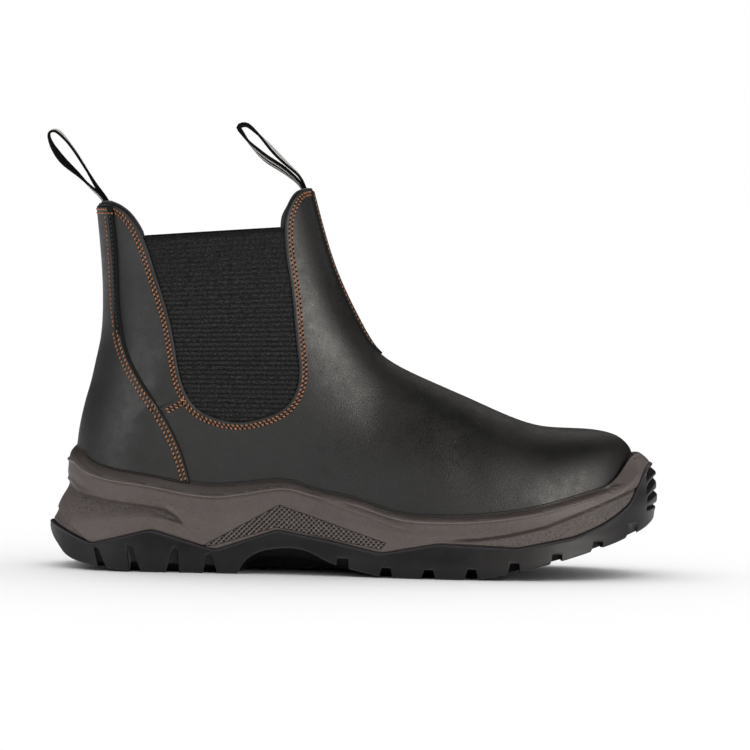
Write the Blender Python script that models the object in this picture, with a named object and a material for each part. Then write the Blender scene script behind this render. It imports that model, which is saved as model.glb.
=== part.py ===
"""Ankle-high pull-on safety boot for the right foot, as an assembly of its pieces.

Sizes are in millimetres and turn into metres where a mesh is made.
+X points to the toe, -Y to the outer side of the foot and +Z up. The boot stands on Z = 0.
"""

from collections import namedtuple

import bmesh
import bpy
import numpy as np

MM = 0.001

# Thicknesses and clearances
WALL = 2.6
GAP = 0.3
PANEL_THICK = 1.4
STRIP_THICK = 1.0
ELASTIC_THICK = 1.7
ELASTIC_RECESS = 0.8
INSOLE_THICK = 4.5
MIDSOLE_SKIN = 2.4
TAPE_THICK = 1.0
TAPE_WIDE = 14.0

# How finely the curved forms are cut into faces
AROUND = 44
RINGS_UP = 26
SOLE_AROUND = 56
TAPE_STEPS = 40

# Half the depth of a cutter that passes right through the boot
THROUGH = 90.0

# The upper's rings, from the edge inside the sole to above the collar. Each ring runs from a point on the
# back line to a point on the front line; the back round is the length over which its back end closes.
Ring = namedtuple("Ring", "back_x back_z front_x front_z back_round")
RINGS = [
    Ring(-133.0, 30.3, 141.4, 30.8, 38.0),
    Ring(-135.9, 43.0, 142.0, 46.0, 38.0),
    Ring(-136.7, 52.0, 140.7, 60.0, 38.0),
    Ring(-136.6, 57.5, 136.4, 66.8, 38.0),
    Ring(-136.2, 62.5, 130.0, 70.3, 39.0),
    Ring(-135.4, 68.5, 118.0, 72.8, 40.0),
    Ring(-134.0, 76.0, 102.0, 73.3, 41.0),
    Ring(-132.4, 83.5, 84.0, 76.4, 42.0),
    Ring(-130.3, 92.5, 58.2, 86.7, 44.0),
    Ring(-128.2, 102.0, 34.0, 96.8, 46.0),
    Ring(-126.4, 112.0, 16.5, 106.8, 48.0),
    Ring(-125.5, 124.0, 6.2, 120.0, 50.0),
    Ring(-125.3, 142.0, -5.6, 142.6, 52.0),
    Ring(-127.0, 164.0, -14.2, 166.4, 54.0),
    Ring(-129.4, 187.0, -22.0, 194.0, 54.0),
]
FIRST_TOP_RING = 1
FORM_TOP_RING = 9.5

# The shaft, by height: half its width, which takes over from the foot's between the two heights below
Level = namedtuple("Level", "z half")
SHAFT = [Level(40.0, 38.6), Level(100.0, 39.0), Level(145.0, 40.2), Level(195.0, 42.6)]
SHAFT_FROM = 48.0
SHAFT_FULL = 132.0

# The foot, by distance along it: half widths of the last, the floor inside the sole, and the power of the
# dome that the cross section follows up to the front line.
Station = namedtuple("Station", "x outer inner floor_z power")
STATIONS = [
    Station(-137.0, 32.0, 32.0, 30.0, 2.2),
    Station(-105.0, 33.4, 33.0, 29.5, 2.2),
    Station(-70.0, 33.2, 32.0, 28.5, 2.2),
    Station(-35.0, 34.6, 31.2, 26.5, 2.2),
    Station(-10.0, 37.5, 33.0, 23.3, 2.2),
    Station(6.0, 40.2, 35.5, 21.3, 2.2),
    Station(20.0, 42.8, 38.5, 20.3, 2.3),
    Station(40.0, 45.8, 42.5, 20.0, 2.4),
    Station(70.0, 46.3, 45.5, 20.7, 2.6),
    Station(105.0, 42.5, 46.0, 25.0, 2.9),
    Station(142.0, 38.0, 48.0, 30.5, 3.0),
]
HEEL_X = -137.0
TOE_X = 142.0
HEEL_ROUND = 38.0
TOE_ROUND = 62.0
TOE_BLUNT = 0.4
ROUND_POWER = 2.25

# The sole's wall, by share of the way from the ground to the lip
WallRow = namedtuple("WallRow", "share heel_x toe_x inset")
SOLE_WALL = [
    WallRow(0.00, -148.0, 150.5, 0.6),
    WallRow(0.28, -148.6, 151.8, 0.0),
    WallRow(0.36, -147.6, 152.6, 0.8),
    WallRow(0.55, -145.0, 153.1, 2.0),
    WallRow(0.69, -140.8, 152.6, 3.4),
    WallRow(0.80, -141.7, 151.6, 2.6),
    WallRow(0.94, -141.0, 149.6, 3.0),
    WallRow(1.00, -138.9, 146.5, 4.4),
]
SOLE_MARGIN = 6.6

# Side-view curves of the sole
Point = namedtuple("Point", "x z")
LIP = [
    Point(-142.0, 58.5),
    Point(-131.0, 56.5),
    Point(-121.0, 52.2),
    Point(-101.0, 48.4),
    Point(-66.0, 44.0),
    Point(-34.0, 46.6),
    Point(-18.0, 43.2),
    Point(5.0, 37.6),
    Point(23.0, 32.1),
    Point(40.0, 30.4),
    Point(75.0, 32.6),
    Point(97.0, 37.0),
    Point(117.0, 43.6),
    Point(128.0, 48.6),
    Point(138.0, 59.2),
    Point(146.0, 61.2),
    Point(156.0, 61.0),
]
DIVIDE = [
    Point(-160.0, 20.6),
    Point(-138.0, 17.0),
    Point(-127.0, 13.4),
    Point(-97.0, 21.0),
    Point(-65.5, 11.6),
    Point(-35.5, 22.0),
    Point(-10.8, 17.8),
    Point(16.0, 12.0),
    Point(44.0, 17.3),
    Point(83.0, 15.8),
    Point(111.0, 21.5),
    Point(124.0, 27.0),
    Point(132.0, 31.8),
    Point(139.5, 38.0),
    Point(142.8, 46.5),
    Point(146.0, 53.5),
    Point(150.0, 57.2),
    Point(160.0, 58.5),
]
HEEL_BEVEL = [
    Point(-160.0, 34.0),
    Point(-149.2, 17.0),
    Point(-147.0, 12.6),
    Point(-143.0, 8.4),
    Point(-137.5, 5.0),
    Point(-129.0, 2.6),
    Point(-117.0, 1.0),
    Point(-104.0, -0.6),
]
ARCH = [
    Point(-50.6, -1.0),
    Point(-47.6, 7.7),
    Point(-43.0, 11.6),
    Point(-36.0, 13.3),
    Point(-22.0, 13.1),
    Point(-17.0, 11.0),
    Point(-10.5, 7.0),
    Point(3.0, 3.2),
    Point(14.0, 0.9),
    Point(21.0, -0.6),
]
TOE_SPRING = [
    Point(60.0, -0.6),
    Point(70.0, 1.3),
    Point(85.0, 4.8),
    Point(104.0, 9.8),
    Point(117.0, 13.8),
    Point(126.0, 16.8),
    Point(135.0, 20.5),
    Point(142.0, 23.8),
    Point(148.0, 27.2),
    Point(152.0, 31.0),
    Point(160.0, 42.0),
]

# Notches that part the lugs: where each meets the ground and how it leans towards its top
Notch = namedtuple("Notch", "x foot_wide top_x top_wide top_z")
NOTCHES = [
    Notch(-120.5, 3.4, -124.8, 2.4, 11.2),
    Notch(-104.6, 5.0, -107.6, 3.2, 13.2),
    Notch(-86.2, 5.0, -84.4, 2.6, 11.4),
    Notch(-67.8, 7.0, -68.2, 2.8, 8.8),
    Notch(-3.0, 6.8, -2.6, 5.4, 9.0),
    Notch(18.6, 6.8, 18.4, 4.6, 5.0),
    Notch(39.3, 7.2, 39.2, 4.6, 4.6),
    Notch(60.4, 6.8, 60.2, 4.2, 5.4),
    Notch(81.0, 6.8, 80.9, 4.6, 8.6),
    Notch(101.4, 6.8, 101.3, 5.0, 13.0),
    Notch(121.2, 6.8, 120.8, 5.2, 19.0),
]
NOTCH_FOOT_Z = -1.5

# The collar's edge in side view, with the cut-out for the elastic, from the back tab to the front tab
BACK_TAB = [Point(-124.0, 182.0), Point(-117.6, 180.9), Point(-111.0, 177.4), Point(-106.6, 173.0)]
FRONT_TAB = [Point(-33.4, 178.0), Point(-31.6, 183.0), Point(-28.4, 187.4), Point(-24.5, 189.6)]
GUSSET_EDGE = [
    Point(-101.9, 164.8),
    Point(-97.0, 148.0),
    Point(-91.4, 129.0),
    Point(-87.0, 109.0),
    Point(-82.6, 91.0),
    Point(-75.5, 80.6),
    Point(-66.0, 76.2),
    Point(-55.8, 74.6),
    Point(-43.0, 77.0),
    Point(-32.0, 82.8),
    Point(-26.2, 94.0),
    Point(-26.9, 111.0),
    Point(-30.2, 140.0),
    Point(-34.0, 170.6),
]
GUSSET_STEPS = 36

# The heel panel's front edge in side view, from its collar corner to the sole
PANEL_EDGE = [
    Point(-119.6, 178.0),
    Point(-117.0, 154.0),
    Point(-113.3, 117.0),
    Point(-110.0, 106.3),
    Point(-103.0, 93.6),
    Point(-95.6, 83.1),
    Point(-89.9, 73.8),
    Point(-83.9, 61.7),
    Point(-78.0, 43.0),
]
PANEL_TOP = 180.4

# The strip up the front of the shaft
STRIP_HALF = 9.5
STRIP_TOP = 188.6
STRIP_FOOT = 108.0

# Pull loops: the tape's middle line in side view, from one sewn end round to the other
BACK_LOOP = [
    Point(-121.6, 168.0),
    Point(-123.4, 180.5),
    Point(-126.6, 185.0),
    Point(-133.0, 190.2),
    Point(-141.2, 196.0),
    Point(-149.7, 203.7),
    Point(-153.0, 209.8),
    Point(-152.5, 215.4),
    Point(-149.3, 215.9),
    Point(-144.2, 210.3),
    Point(-138.0, 202.5),
    Point(-132.2, 194.2),
    Point(-126.2, 186.2),
    Point(-121.7, 180.0),
    Point(-119.8, 168.0),
]
FRONT_LOOP = [
    Point(-22.8, 176.0),
    Point(-25.7, 188.6),
    Point(-27.4, 193.6),
    Point(-34.0, 201.2),
    Point(-41.2, 209.2),
    Point(-50.1, 217.0),
    Point(-55.4, 220.6),
    Point(-59.0, 219.6),
    Point(-59.6, 216.0),
    Point(-55.3, 210.4),
    Point(-48.3, 204.0),
    Point(-40.9, 198.8),
    Point(-33.4, 194.6),
    Point(-28.1, 188.4),
    Point(-24.8, 176.0),
]

COLOURS = {
    "upper": (0.022, 0.021, 0.020, 1.0),
    "heel_panel": (0.024, 0.023, 0.022, 1.0),
    "front_strip": (0.024, 0.023, 0.022, 1.0),
    "gusset_outer": (0.012, 0.012, 0.013, 1.0),
    "gusset_inner": (0.012, 0.012, 0.013, 1.0),
    "midsole": (0.080, 0.066, 0.056, 1.0),
    "outsole": (0.016, 0.014, 0.017, 1.0),
    "insole": (0.050, 0.048, 0.046, 1.0),
    "pull_loop_back": (0.020, 0.020, 0.021, 1.0),
    "pull_loop_front": (0.020, 0.020, 0.021, 1.0),
}


def clear_scene():
    for found in list(bpy.data.objects):
        bpy.data.objects.remove(found, do_unlink=True)


def spline(knots, values):
    """Cubic curve with continuous bend through the knots, straight on beyond both ends."""
    knots = np.asarray(knots, float)
    values = np.asarray(values, float)
    step = np.diff(knots)
    rise = np.diff(values) / step
    count = len(knots)
    system = np.eye(count)
    right = np.zeros(count)
    for i in range(1, count - 1):
        system[i, i - 1 : i + 2] = step[i - 1], 2.0 * (step[i - 1] + step[i]), step[i]
        right[i] = 6.0 * (rise[i] - rise[i - 1])
    bend = np.linalg.solve(system, right)
    first_slope = rise[0] - step[0] * bend[1] / 6.0
    last_slope = rise[-1] + step[-1] * bend[-2] / 6.0

    def value(at):
        at = np.asarray(at, float)
        held = np.clip(at, knots[0], knots[-1])
        i = np.clip(np.searchsorted(knots, held, side="right") - 1, 0, count - 2)
        ahead = knots[i + 1] - held
        behind = held - knots[i]
        curve = (bend[i] * ahead**3 + bend[i + 1] * behind**3) / (6.0 * step[i])
        curve += (values[i] / step[i] - bend[i] * step[i] / 6.0) * ahead
        curve += (values[i + 1] / step[i] - bend[i + 1] * step[i] / 6.0) * behind
        beyond = np.where(at < knots[0], first_slope, last_slope) * (at - held)
        return curve + beyond

    return value


def columns(rows):
    """One spline for each named column after the first, which is what the table runs along."""
    key = rows[0]._fields[0]
    knots = [getattr(row, key) for row in rows]
    return {name: spline(knots, [getattr(row, name) for row in rows]) for name in rows[0]._fields[1:]}


def ring_columns():
    knots = np.arange(len(RINGS))
    return {name: spline(knots, [getattr(row, name) for row in RINGS]) for name in Ring._fields}


RING = ring_columns()
FOOT = columns(STATIONS)
SHAFT_HALF = columns(SHAFT)["half"]
SOLE = columns(SOLE_WALL)
LIP_Z = columns(LIP)["z"]
TOP_RING = len(RINGS) - 1


def front_line():
    """Height of the upper's front line above a place along the boot, straight on behind the collar."""
    rings = np.linspace(FIRST_TOP_RING, TOP_RING, 4000)
    x = RING["front_x"](rings)
    z = RING["front_z"](rings)
    slope = (z[-1] - z[-40]) / (x[-1] - x[-40])

    def height(at):
        at = np.asarray(at, float)
        return np.interp(at, x[::-1], z[::-1]) + slope * np.minimum(at - x[-1], 0.0)

    return height


FRONT_Z = front_line()


def eased(share):
    """0 to 1 with a level start and end."""
    share = np.clip(share, 0.0, 1.0)
    return share * share * (3.0 - 2.0 * share)


def closing(depth, power):
    """1 inside the body and 0 at its end, where depth is 1."""
    return np.sqrt(np.clip(1.0 - np.clip(depth, 0.0, 1.0) ** power, 0.0, 1.0))


def plan_middle(x):
    return (FOOT["inner"](x) - FOOT["outer"](x)) / 2.0


def plan_half(x):
    return (FOOT["inner"](x) + FOOT["outer"](x)) / 2.0


def upper_skin(ring, turn):
    """Point on the outside of the upper: ring counts up from the sole, turn runs round from the back."""
    ring, turn = np.broadcast_arrays(np.asarray(ring, float), np.asarray(turn, float))
    row = {name: value(ring) for name, value in RING.items()}
    along = (1.0 - np.cos(turn)) / 2.0
    x = row["back_x"] + (row["front_x"] - row["back_x"]) * along
    z = row["back_z"] + (row["front_z"] - row["back_z"]) * along
    low = np.clip(1.0 - ring / 5.0, 0.0, 1.0) ** 2
    start = RINGS[0].back_z + (RINGS[0].front_z - RINGS[0].back_z) * along
    z = z + low * (FOOT["floor_z"](x) + GAP - start)
    share = eased((z - SHAFT_FROM) / (SHAFT_FULL - SHAFT_FROM))
    half = plan_half(x) * (1.0 - share) + SHAFT_HALF(z) * share
    floor = FOOT["floor_z"](x)
    rise = np.clip((z - floor) / (FRONT_Z(x) - floor), 0.0, 1.0)
    half = half * closing(rise, FOOT["power"](x))
    half = half * closing((row["back_x"] + row["back_round"] - x) / row["back_round"], 2.0)
    half = half * closing((x - TOE_X - TOE_BLUNT + TOE_ROUND) / TOE_ROUND, ROUND_POWER)
    side = -np.sign(np.sin(turn))
    y = plan_middle(x) * (1.0 - share) + side * half
    return np.stack([x, y, z], axis=-1)


def upper_grid(rings, turns, proud):
    """Grid of points that stands proud of the upper's skin, or inside it where proud is negative."""
    ring = np.asarray(rings, float)[:, None]
    turn = np.asarray(turns, float)[None, :]
    small = 0.01
    up = upper_skin(np.minimum(ring + small, TOP_RING), turn) - upper_skin(np.maximum(ring - small, 0.0), turn)
    round_ = upper_skin(ring, turn + small) - upper_skin(ring, turn - small)
    normal = np.cross(up, round_)
    normal /= np.linalg.norm(normal, axis=-1, keepdims=True)
    return upper_skin(ring, turn) - normal * proud


def ring_turns(count):
    return (np.arange(count) + 0.5) * 2.0 * np.pi / count


def upper_rings():
    return np.linspace(0.0, TOP_RING, RINGS_UP)


def mesh_object(name, points, faces):
    """Object from points in millimetres, with its faces turned outwards."""
    mesh = bpy.data.meshes.new(name)
    made = bmesh.new()
    verts = [made.verts.new(tuple(float(c) * MM for c in point)) for point in points]
    for face in faces:
        made.faces.new([verts[i] for i in face])
    bmesh.ops.recalc_face_normals(made, faces=made.faces[:])
    made.to_mesh(mesh)
    made.free()
    obj = bpy.data.objects.new(name, mesh)
    bpy.context.scene.collection.objects.link(obj)
    return obj


def strip_faces(first, second, count):
    """Quads between two closed rings of the same count, given where each starts."""
    return [
        (first + i, first + (i + 1) % count, second + (i + 1) % count, second + i) for i in range(count)
    ]


def cap_faces(start, count):
    """Closes a ring whose point i lies across from point count - 1 - i."""
    faces = []
    for i in range(count // 2 - 1):
        faces.append((start + i, start + i + 1, start + count - 2 - i, start + count - 1 - i))
    return faces


def lofted(name, grid):
    """Closed solid from rings of points, with both ends filled across."""
    levels, count, _ = grid.shape
    faces = []
    for level in range(levels - 1):
        faces += strip_faces(level * count, (level + 1) * count, count)
    faces += cap_faces(0, count)
    faces += cap_faces((levels - 1) * count, count)
    return mesh_object(name, grid.reshape(-1, 3), faces)


def walled(name, outer, inner):
    """Closed wall between two grids of the same shape, open inside from end to end."""
    levels, count, _ = outer.shape
    other = levels * count
    faces = []
    for level in range(levels - 1):
        faces += strip_faces(level * count, (level + 1) * count, count)
        faces += strip_faces(other + level * count, other + (level + 1) * count, count)
    faces += strip_faces(0, other, count)
    faces += strip_faces((levels - 1) * count, other + (levels - 1) * count, count)
    return mesh_object(name, np.concatenate([outer.reshape(-1, 3), inner.reshape(-1, 3)]), faces)


def prism_y(name, outline, half=THROUGH):
    """Side-view outline carried across the boot from -half to half."""
    count = len(outline)
    near = [(p[0], -half, p[1]) for p in outline]
    far = [(p[0], half, p[1]) for p in outline]
    faces = strip_faces(0, count, count)
    faces.append(tuple(range(count)))
    faces.append(tuple(range(count, 2 * count)))
    return mesh_object(name, near + far, faces)


def as_cutter(obj):
    obj.hide_render = True
    obj.display_type = "WIRE"
    return obj


def boolean(obj, operation, other):
    cut = obj.modifiers.new(operation.lower() + "_" + other.name, "BOOLEAN")
    cut.operation = operation
    cut.object = other
    cut.solver = "EXACT"
    return obj


def painted(obj, roughness):
    made = bpy.data.materials.new(obj.name)
    made.use_nodes = True
    shader = made.node_tree.nodes["Principled BSDF"]
    shader.inputs["Base Color"].default_value = COLOURS[obj.name]
    shader.inputs["Roughness"].default_value = roughness
    obj.data.materials.append(made)
    return obj


def smooth_line(points, count):
    """Evenly spaced points on a smooth side-view curve through the rows given."""
    rows = np.array(points, float)
    length = np.concatenate([[0.0], np.cumsum(np.linalg.norm(np.diff(rows, axis=0), axis=1))])
    at = np.linspace(0.0, length[-1], count)
    return np.stack([spline(length, rows[:, 0])(at), spline(length, rows[:, 1])(at)], axis=1)


def shifted_in(outline, distance):
    """Side-view line moved to its left by the distance."""
    line = np.array(outline, float)
    run = np.gradient(line, axis=0)
    run /= np.linalg.norm(run, axis=1, keepdims=True)
    return line + distance * np.stack([-run[:, 1], run[:, 0]], axis=1)


def upper_form(name, proud, drop):
    """Closed form that follows the foot of the upper, to cut the sole with."""
    rings = upper_rings()
    grid = upper_grid(rings[rings < FORM_TOP_RING], ring_turns(AROUND), proud)
    grid[0, :, 2] -= drop
    return as_cutter(lofted(name, grid))


def sole_form(name):
    """The whole sole from the ground to the lip, before it is parted into outsole and midsole."""
    shares = [row.share for row in SOLE_WALL]
    turn = ring_turns(SOLE_AROUND)[None, :]
    share = np.array(shares)[:, None]
    along = (1.0 - np.cos(turn)) / 2.0
    last_x = HEEL_X + (TOE_X - HEEL_X) * along
    end = closing((HEEL_X + HEEL_ROUND - last_x) / HEEL_ROUND, 2.0)
    end = end * closing((last_x - TOE_X + TOE_ROUND) / TOE_ROUND, ROUND_POWER)
    half = (plan_half(last_x) + SOLE_MARGIN - SOLE["inset"](share)) * end
    x = SOLE["heel_x"](share) + (SOLE["toe_x"](share) - SOLE["heel_x"](share)) * along
    y = plan_middle(last_x) - np.sign(np.sin(turn)) * half
    z = share * LIP_Z(x)
    return lofted(name, np.stack(np.broadcast_arrays(x, y, z), axis=-1))


def below(name, line, lower):
    """Cutter for what lies under a side-view line."""
    outline = [(p[0], p[1]) for p in line]
    outline += [(line[-1][0], lower), (line[0][0], lower)]
    return as_cutter(prism_y(name, outline))


def notch_cutter(notch):
    left = notch.x - notch.foot_wide / 2.0
    right = notch.x + notch.foot_wide / 2.0
    top_left = notch.top_x - notch.top_wide / 2.0
    top_right = notch.top_x + notch.top_wide / 2.0
    outline = [(left, NOTCH_FOOT_Z), (right, NOTCH_FOOT_Z), (top_right, notch.top_z), (top_left, notch.top_z)]
    return as_cutter(prism_y("cut_notch_%d" % round(notch.x), outline))


def make_outsole():
    obj = sole_form("outsole")
    lowered = [(p.x, p.z - GAP) for p in DIVIDE]
    boolean(obj, "INTERSECT", below("keep_under_divide", lowered, -20.0))
    boolean(obj, "DIFFERENCE", upper_form("cut_outsole_core", MIDSOLE_SKIN + 2.0 * GAP, MIDSOLE_SKIN + 2.0 * GAP))
    for name, line in (("heel_bevel", HEEL_BEVEL), ("arch", ARCH), ("toe_spring", TOE_SPRING)):
        boolean(obj, "DIFFERENCE", below("cut_" + name, smooth_line(line, 3 * len(line)), -20.0))
    for notch in NOTCHES:
        boolean(obj, "DIFFERENCE", notch_cutter(notch))
    return painted(obj, 0.55)


def make_midsole():
    obj = sole_form("midsole")
    under = below("cut_under_divide", DIVIDE, -20.0)
    boolean(under, "DIFFERENCE", upper_form("keep_midsole_core", MIDSOLE_SKIN + GAP, MIDSOLE_SKIN + GAP))
    boolean(obj, "DIFFERENCE", under)
    boolean(obj, "DIFFERENCE", upper_form("cut_midsole_inside", GAP, GAP))
    return painted(obj, 0.6)


def make_insole():
    edge = upper_grid([0.0], ring_turns(AROUND), -(WALL + 2.0 * GAP))[0]
    top = edge.copy()
    top[:, 2] = FOOT["floor_z"](edge[:, 0]) + GAP + INSOLE_THICK
    bottom = edge.copy()
    bottom[:, 2] = FOOT["floor_z"](edge[:, 0]) + GAP
    return painted(lofted("insole", np.stack([bottom, top])), 0.9)


def gusset_line(shift):
    return shifted_in(smooth_line(GUSSET_EDGE, GUSSET_STEPS), shift)


def collar_cutter():
    """Everything above the collar's edge, with the cut-outs for the elastic."""
    high = 230.0
    outline = [(-160.0, 181.6)]
    outline += [(p.x, p.z) for p in BACK_TAB]
    outline += [tuple(p) for p in gusset_line(0.0)]
    outline += [(p.x, p.z) for p in FRONT_TAB]
    outline += [(20.0, 190.2), (20.0, high), (-160.0, high)]
    return as_cutter(prism_y("cut_collar", outline))


def make_upper():
    rings = upper_rings()
    turns = ring_turns(AROUND)
    inner = upper_grid(rings, turns, -WALL)
    inner[0, :, 2] = upper_grid([0.0], turns, 0.0)[0, :, 2]
    obj = walled("upper", upper_grid(rings, turns, 0.0), inner)
    boolean(obj, "DIFFERENCE", collar_cutter())
    return painted(obj, 0.45)


def make_gusset(name, outer_side):
    """Elastic that fills the cut-out on one side, set a little behind the leather."""
    rings = np.linspace(5.0, TOP_RING - 0.6, 15)
    turns = ring_turns(AROUND)
    shell = walled(
        name,
        upper_grid(rings, turns, -ELASTIC_RECESS),
        upper_grid(rings, turns, -ELASTIC_RECESS - ELASTIC_THICK),
    )
    outline = [tuple(p) for p in gusset_line(GAP)]
    near, far = (-THROUGH, -2.0) if outer_side else (2.0, THROUGH)
    keep = prism_y("keep_" + name, outline, 1.0)
    for vert in keep.data.vertices:
        vert.co.y = (near if vert.co.y < 0.0 else far) * MM
    boolean(shell, "INTERSECT", as_cutter(keep))
    return painted(shell, 0.85)


def make_heel_panel():
    rings = np.linspace(1.0, TOP_RING, 20)
    turns = ring_turns(AROUND)
    obj = walled("heel_panel", upper_grid(rings, turns, GAP + PANEL_THICK), upper_grid(rings, turns, GAP))
    edge = [tuple(p) for p in smooth_line(PANEL_EDGE, 18)]
    lip = [(x, float(LIP_Z(x)) + 2.0 * GAP) for x in np.linspace(-78.0, -150.0, 13)]
    outline = [(-150.0, PANEL_TOP), (-120.4, PANEL_TOP)] + edge[:-1] + lip
    boolean(obj, "INTERSECT", as_cutter(prism_y("keep_heel_panel", outline)))
    return painted(obj, 0.45)


def make_front_strip():
    """Band up the front line, cut by a front-view outline with a rounded foot."""
    rings = np.linspace(9.0, TOP_RING, 14)
    turns = ring_turns(AROUND)
    obj = walled("front_strip", upper_grid(rings, turns, GAP + STRIP_THICK), upper_grid(rings, turns, GAP))
    foot = []
    for step in np.linspace(0.0, np.pi, 9):
        foot.append((STRIP_HALF * np.cos(step), STRIP_FOOT + STRIP_HALF * (1.0 - np.sin(step))))
    outline = [(-STRIP_HALF, STRIP_TOP), (STRIP_HALF, STRIP_TOP)] + foot
    count = len(outline)
    points = [(-55.0, y, z) for y, z in outline] + [(40.0, y, z) for y, z in outline]
    faces = strip_faces(0, count, count)
    faces += [tuple(range(count)), tuple(range(count, 2 * count))]
    boolean(obj, "INTERSECT", as_cutter(mesh_object("keep_front_strip", points, faces)))
    return painted(obj, 0.45)


def make_pull_loop(name, path):
    """Flat tape that follows its side-view path, as wide across the boot as the tape."""
    line = smooth_line(path, TAPE_STEPS)
    left = shifted_in(line, TAPE_THICK / 2.0)
    right = shifted_in(line, -TAPE_THICK / 2.0)
    half = TAPE_WIDE / 2.0
    points = []
    for a, b in zip(left, right):
        points += [(a[0], -half, a[1]), (a[0], half, a[1]), (b[0], half, b[1]), (b[0], -half, b[1])]
    faces = [(0, 1, 2, 3)]
    for step in range(TAPE_STEPS - 1):
        faces += strip_faces(4 * step, 4 * step + 4, 4)
    last = 4 * (TAPE_STEPS - 1)
    faces.append((last, last + 1, last + 2, last + 3))
    return painted(mesh_object(name, points, faces), 0.8)


clear_scene()
make_outsole()
make_midsole()
make_insole()
make_upper()
make_gusset("gusset_outer", True)
make_gusset("gusset_inner", False)
make_heel_panel()
make_front_strip()
make_pull_loop("pull_loop_back", BACK_LOOP)
make_pull_loop("pull_loop_front", FRONT_LOOP)
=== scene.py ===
"""Looks of the ankle-high pull-on safety boot for the right foot.

Sizes are in millimetres and turn into metres where a mesh is made.
+X points to the toe, -Y to the outer side of the foot and +Z up. The boot stands on Z = 0.
"""

import math
from collections import namedtuple

import bmesh
import bpy
import numpy as np
from mathutils import Matrix, Vector


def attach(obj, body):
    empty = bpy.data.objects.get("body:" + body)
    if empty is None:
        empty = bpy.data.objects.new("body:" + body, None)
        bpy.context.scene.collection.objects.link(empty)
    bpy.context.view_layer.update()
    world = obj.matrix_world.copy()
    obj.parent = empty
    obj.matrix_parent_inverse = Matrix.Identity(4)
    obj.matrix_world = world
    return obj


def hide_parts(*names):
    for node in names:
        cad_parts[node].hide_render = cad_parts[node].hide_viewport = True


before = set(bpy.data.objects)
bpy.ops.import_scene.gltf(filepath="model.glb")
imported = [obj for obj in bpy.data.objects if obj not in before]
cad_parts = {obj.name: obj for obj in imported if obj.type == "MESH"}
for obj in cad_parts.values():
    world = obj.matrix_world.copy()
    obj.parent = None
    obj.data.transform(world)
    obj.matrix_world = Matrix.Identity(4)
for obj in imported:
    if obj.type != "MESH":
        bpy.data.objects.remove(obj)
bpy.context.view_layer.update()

MM = 0.001
FULL_TURN = 2.0 * np.pi

# Thicknesses and clearances
GAP = 0.3
WALL = 2.3
PANEL_THICK = 1.3
STRIP_THICK = 0.9
QUARTER_THICK = 0.55
INSOLE_THICK = 4.5
INSOLE_CUP = 2.6
INSOLE_CLEAR = 0.9
INSOLE_ROWS = 90
INSOLE_ACROSS = 31
TAPE_THICK = 1.35
TAPE_WIDE = 14.0

# The upper's rings, from the edge inside the sole to above the collar. Each ring runs from a point on the
# back line to a point on the front line; the back round is the length over which its back end closes.
Ring = namedtuple("Ring", "back_x back_z front_x front_z back_round")
RINGS = [
    Ring(-133.0, 30.3, 141.4, 30.8, 38.0),
    Ring(-135.9, 43.0, 142.0, 46.0, 38.0),
    Ring(-135.6, 52.0, 140.7, 60.2, 38.0),
    Ring(-135.2, 57.5, 136.4, 67.0, 38.0),
    Ring(-134.6, 62.5, 130.0, 70.5, 39.0),
    Ring(-133.9, 68.5, 118.0, 72.5, 40.0),
    Ring(-132.6, 76.0, 102.0, 73.0, 41.0),
    Ring(-130.9, 83.5, 84.0, 76.3, 42.0),
    Ring(-128.5, 92.5, 58.2, 87.1, 44.0),
    Ring(-126.5, 102.0, 34.0, 97.2, 46.0),
    Ring(-124.5, 112.0, 16.0, 106.8, 48.0),
    Ring(-123.5, 124.0, 5.4, 120.0, 50.0),
    Ring(-123.8, 142.0, -6.4, 142.6, 52.0),
    Ring(-125.7, 164.0, -15.0, 166.4, 54.0),
    Ring(-128.4, 187.0, -22.8, 194.0, 54.0),
]
FIRST_TOP_RING = 1
FLOOR_RINGS = 5.0
FIRST_SHAFT_RING = 8
TOP_RING = len(RINGS) - 1

# The shaft, by height: half its width, which takes over from the foot's between the two heights below
Level = namedtuple("Level", "z half")
SHAFT = [Level(40.0, 38.6), Level(100.0, 39.0), Level(145.0, 40.2), Level(195.0, 42.6)]
SHAFT_FROM = 48.0
SHAFT_FULL = 132.0

# The foot, by distance along it: half widths of the last, the floor inside the sole, and the power of the
# dome that the cross section follows up to the front line.
Station = namedtuple("Station", "x outer inner floor_z power")
STATIONS = [
    Station(-137.0, 32.0, 32.0, 30.0, 2.2),
    Station(-105.0, 33.4, 33.0, 29.5, 2.2),
    Station(-70.0, 33.2, 32.0, 28.5, 2.2),
    Station(-35.0, 34.6, 31.2, 26.5, 2.2),
    Station(-10.0, 37.5, 33.0, 23.3, 2.2),
    Station(6.0, 40.2, 35.5, 21.3, 2.2),
    Station(20.0, 42.8, 38.5, 20.3, 2.3),
    Station(40.0, 45.8, 42.5, 20.0, 2.4),
    Station(70.0, 46.3, 45.5, 20.7, 2.6),
    Station(105.0, 42.5, 46.0, 25.0, 2.9),
    Station(142.0, 38.0, 48.0, 30.5, 3.0),
]
HEEL_X = -137.0
TOE_X = 142.0
HEEL_ROUND = 38.0
TOE_ROUND = 62.0
TOE_BLUNT = 0.4
ROUND_POWER = 2.25

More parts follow.
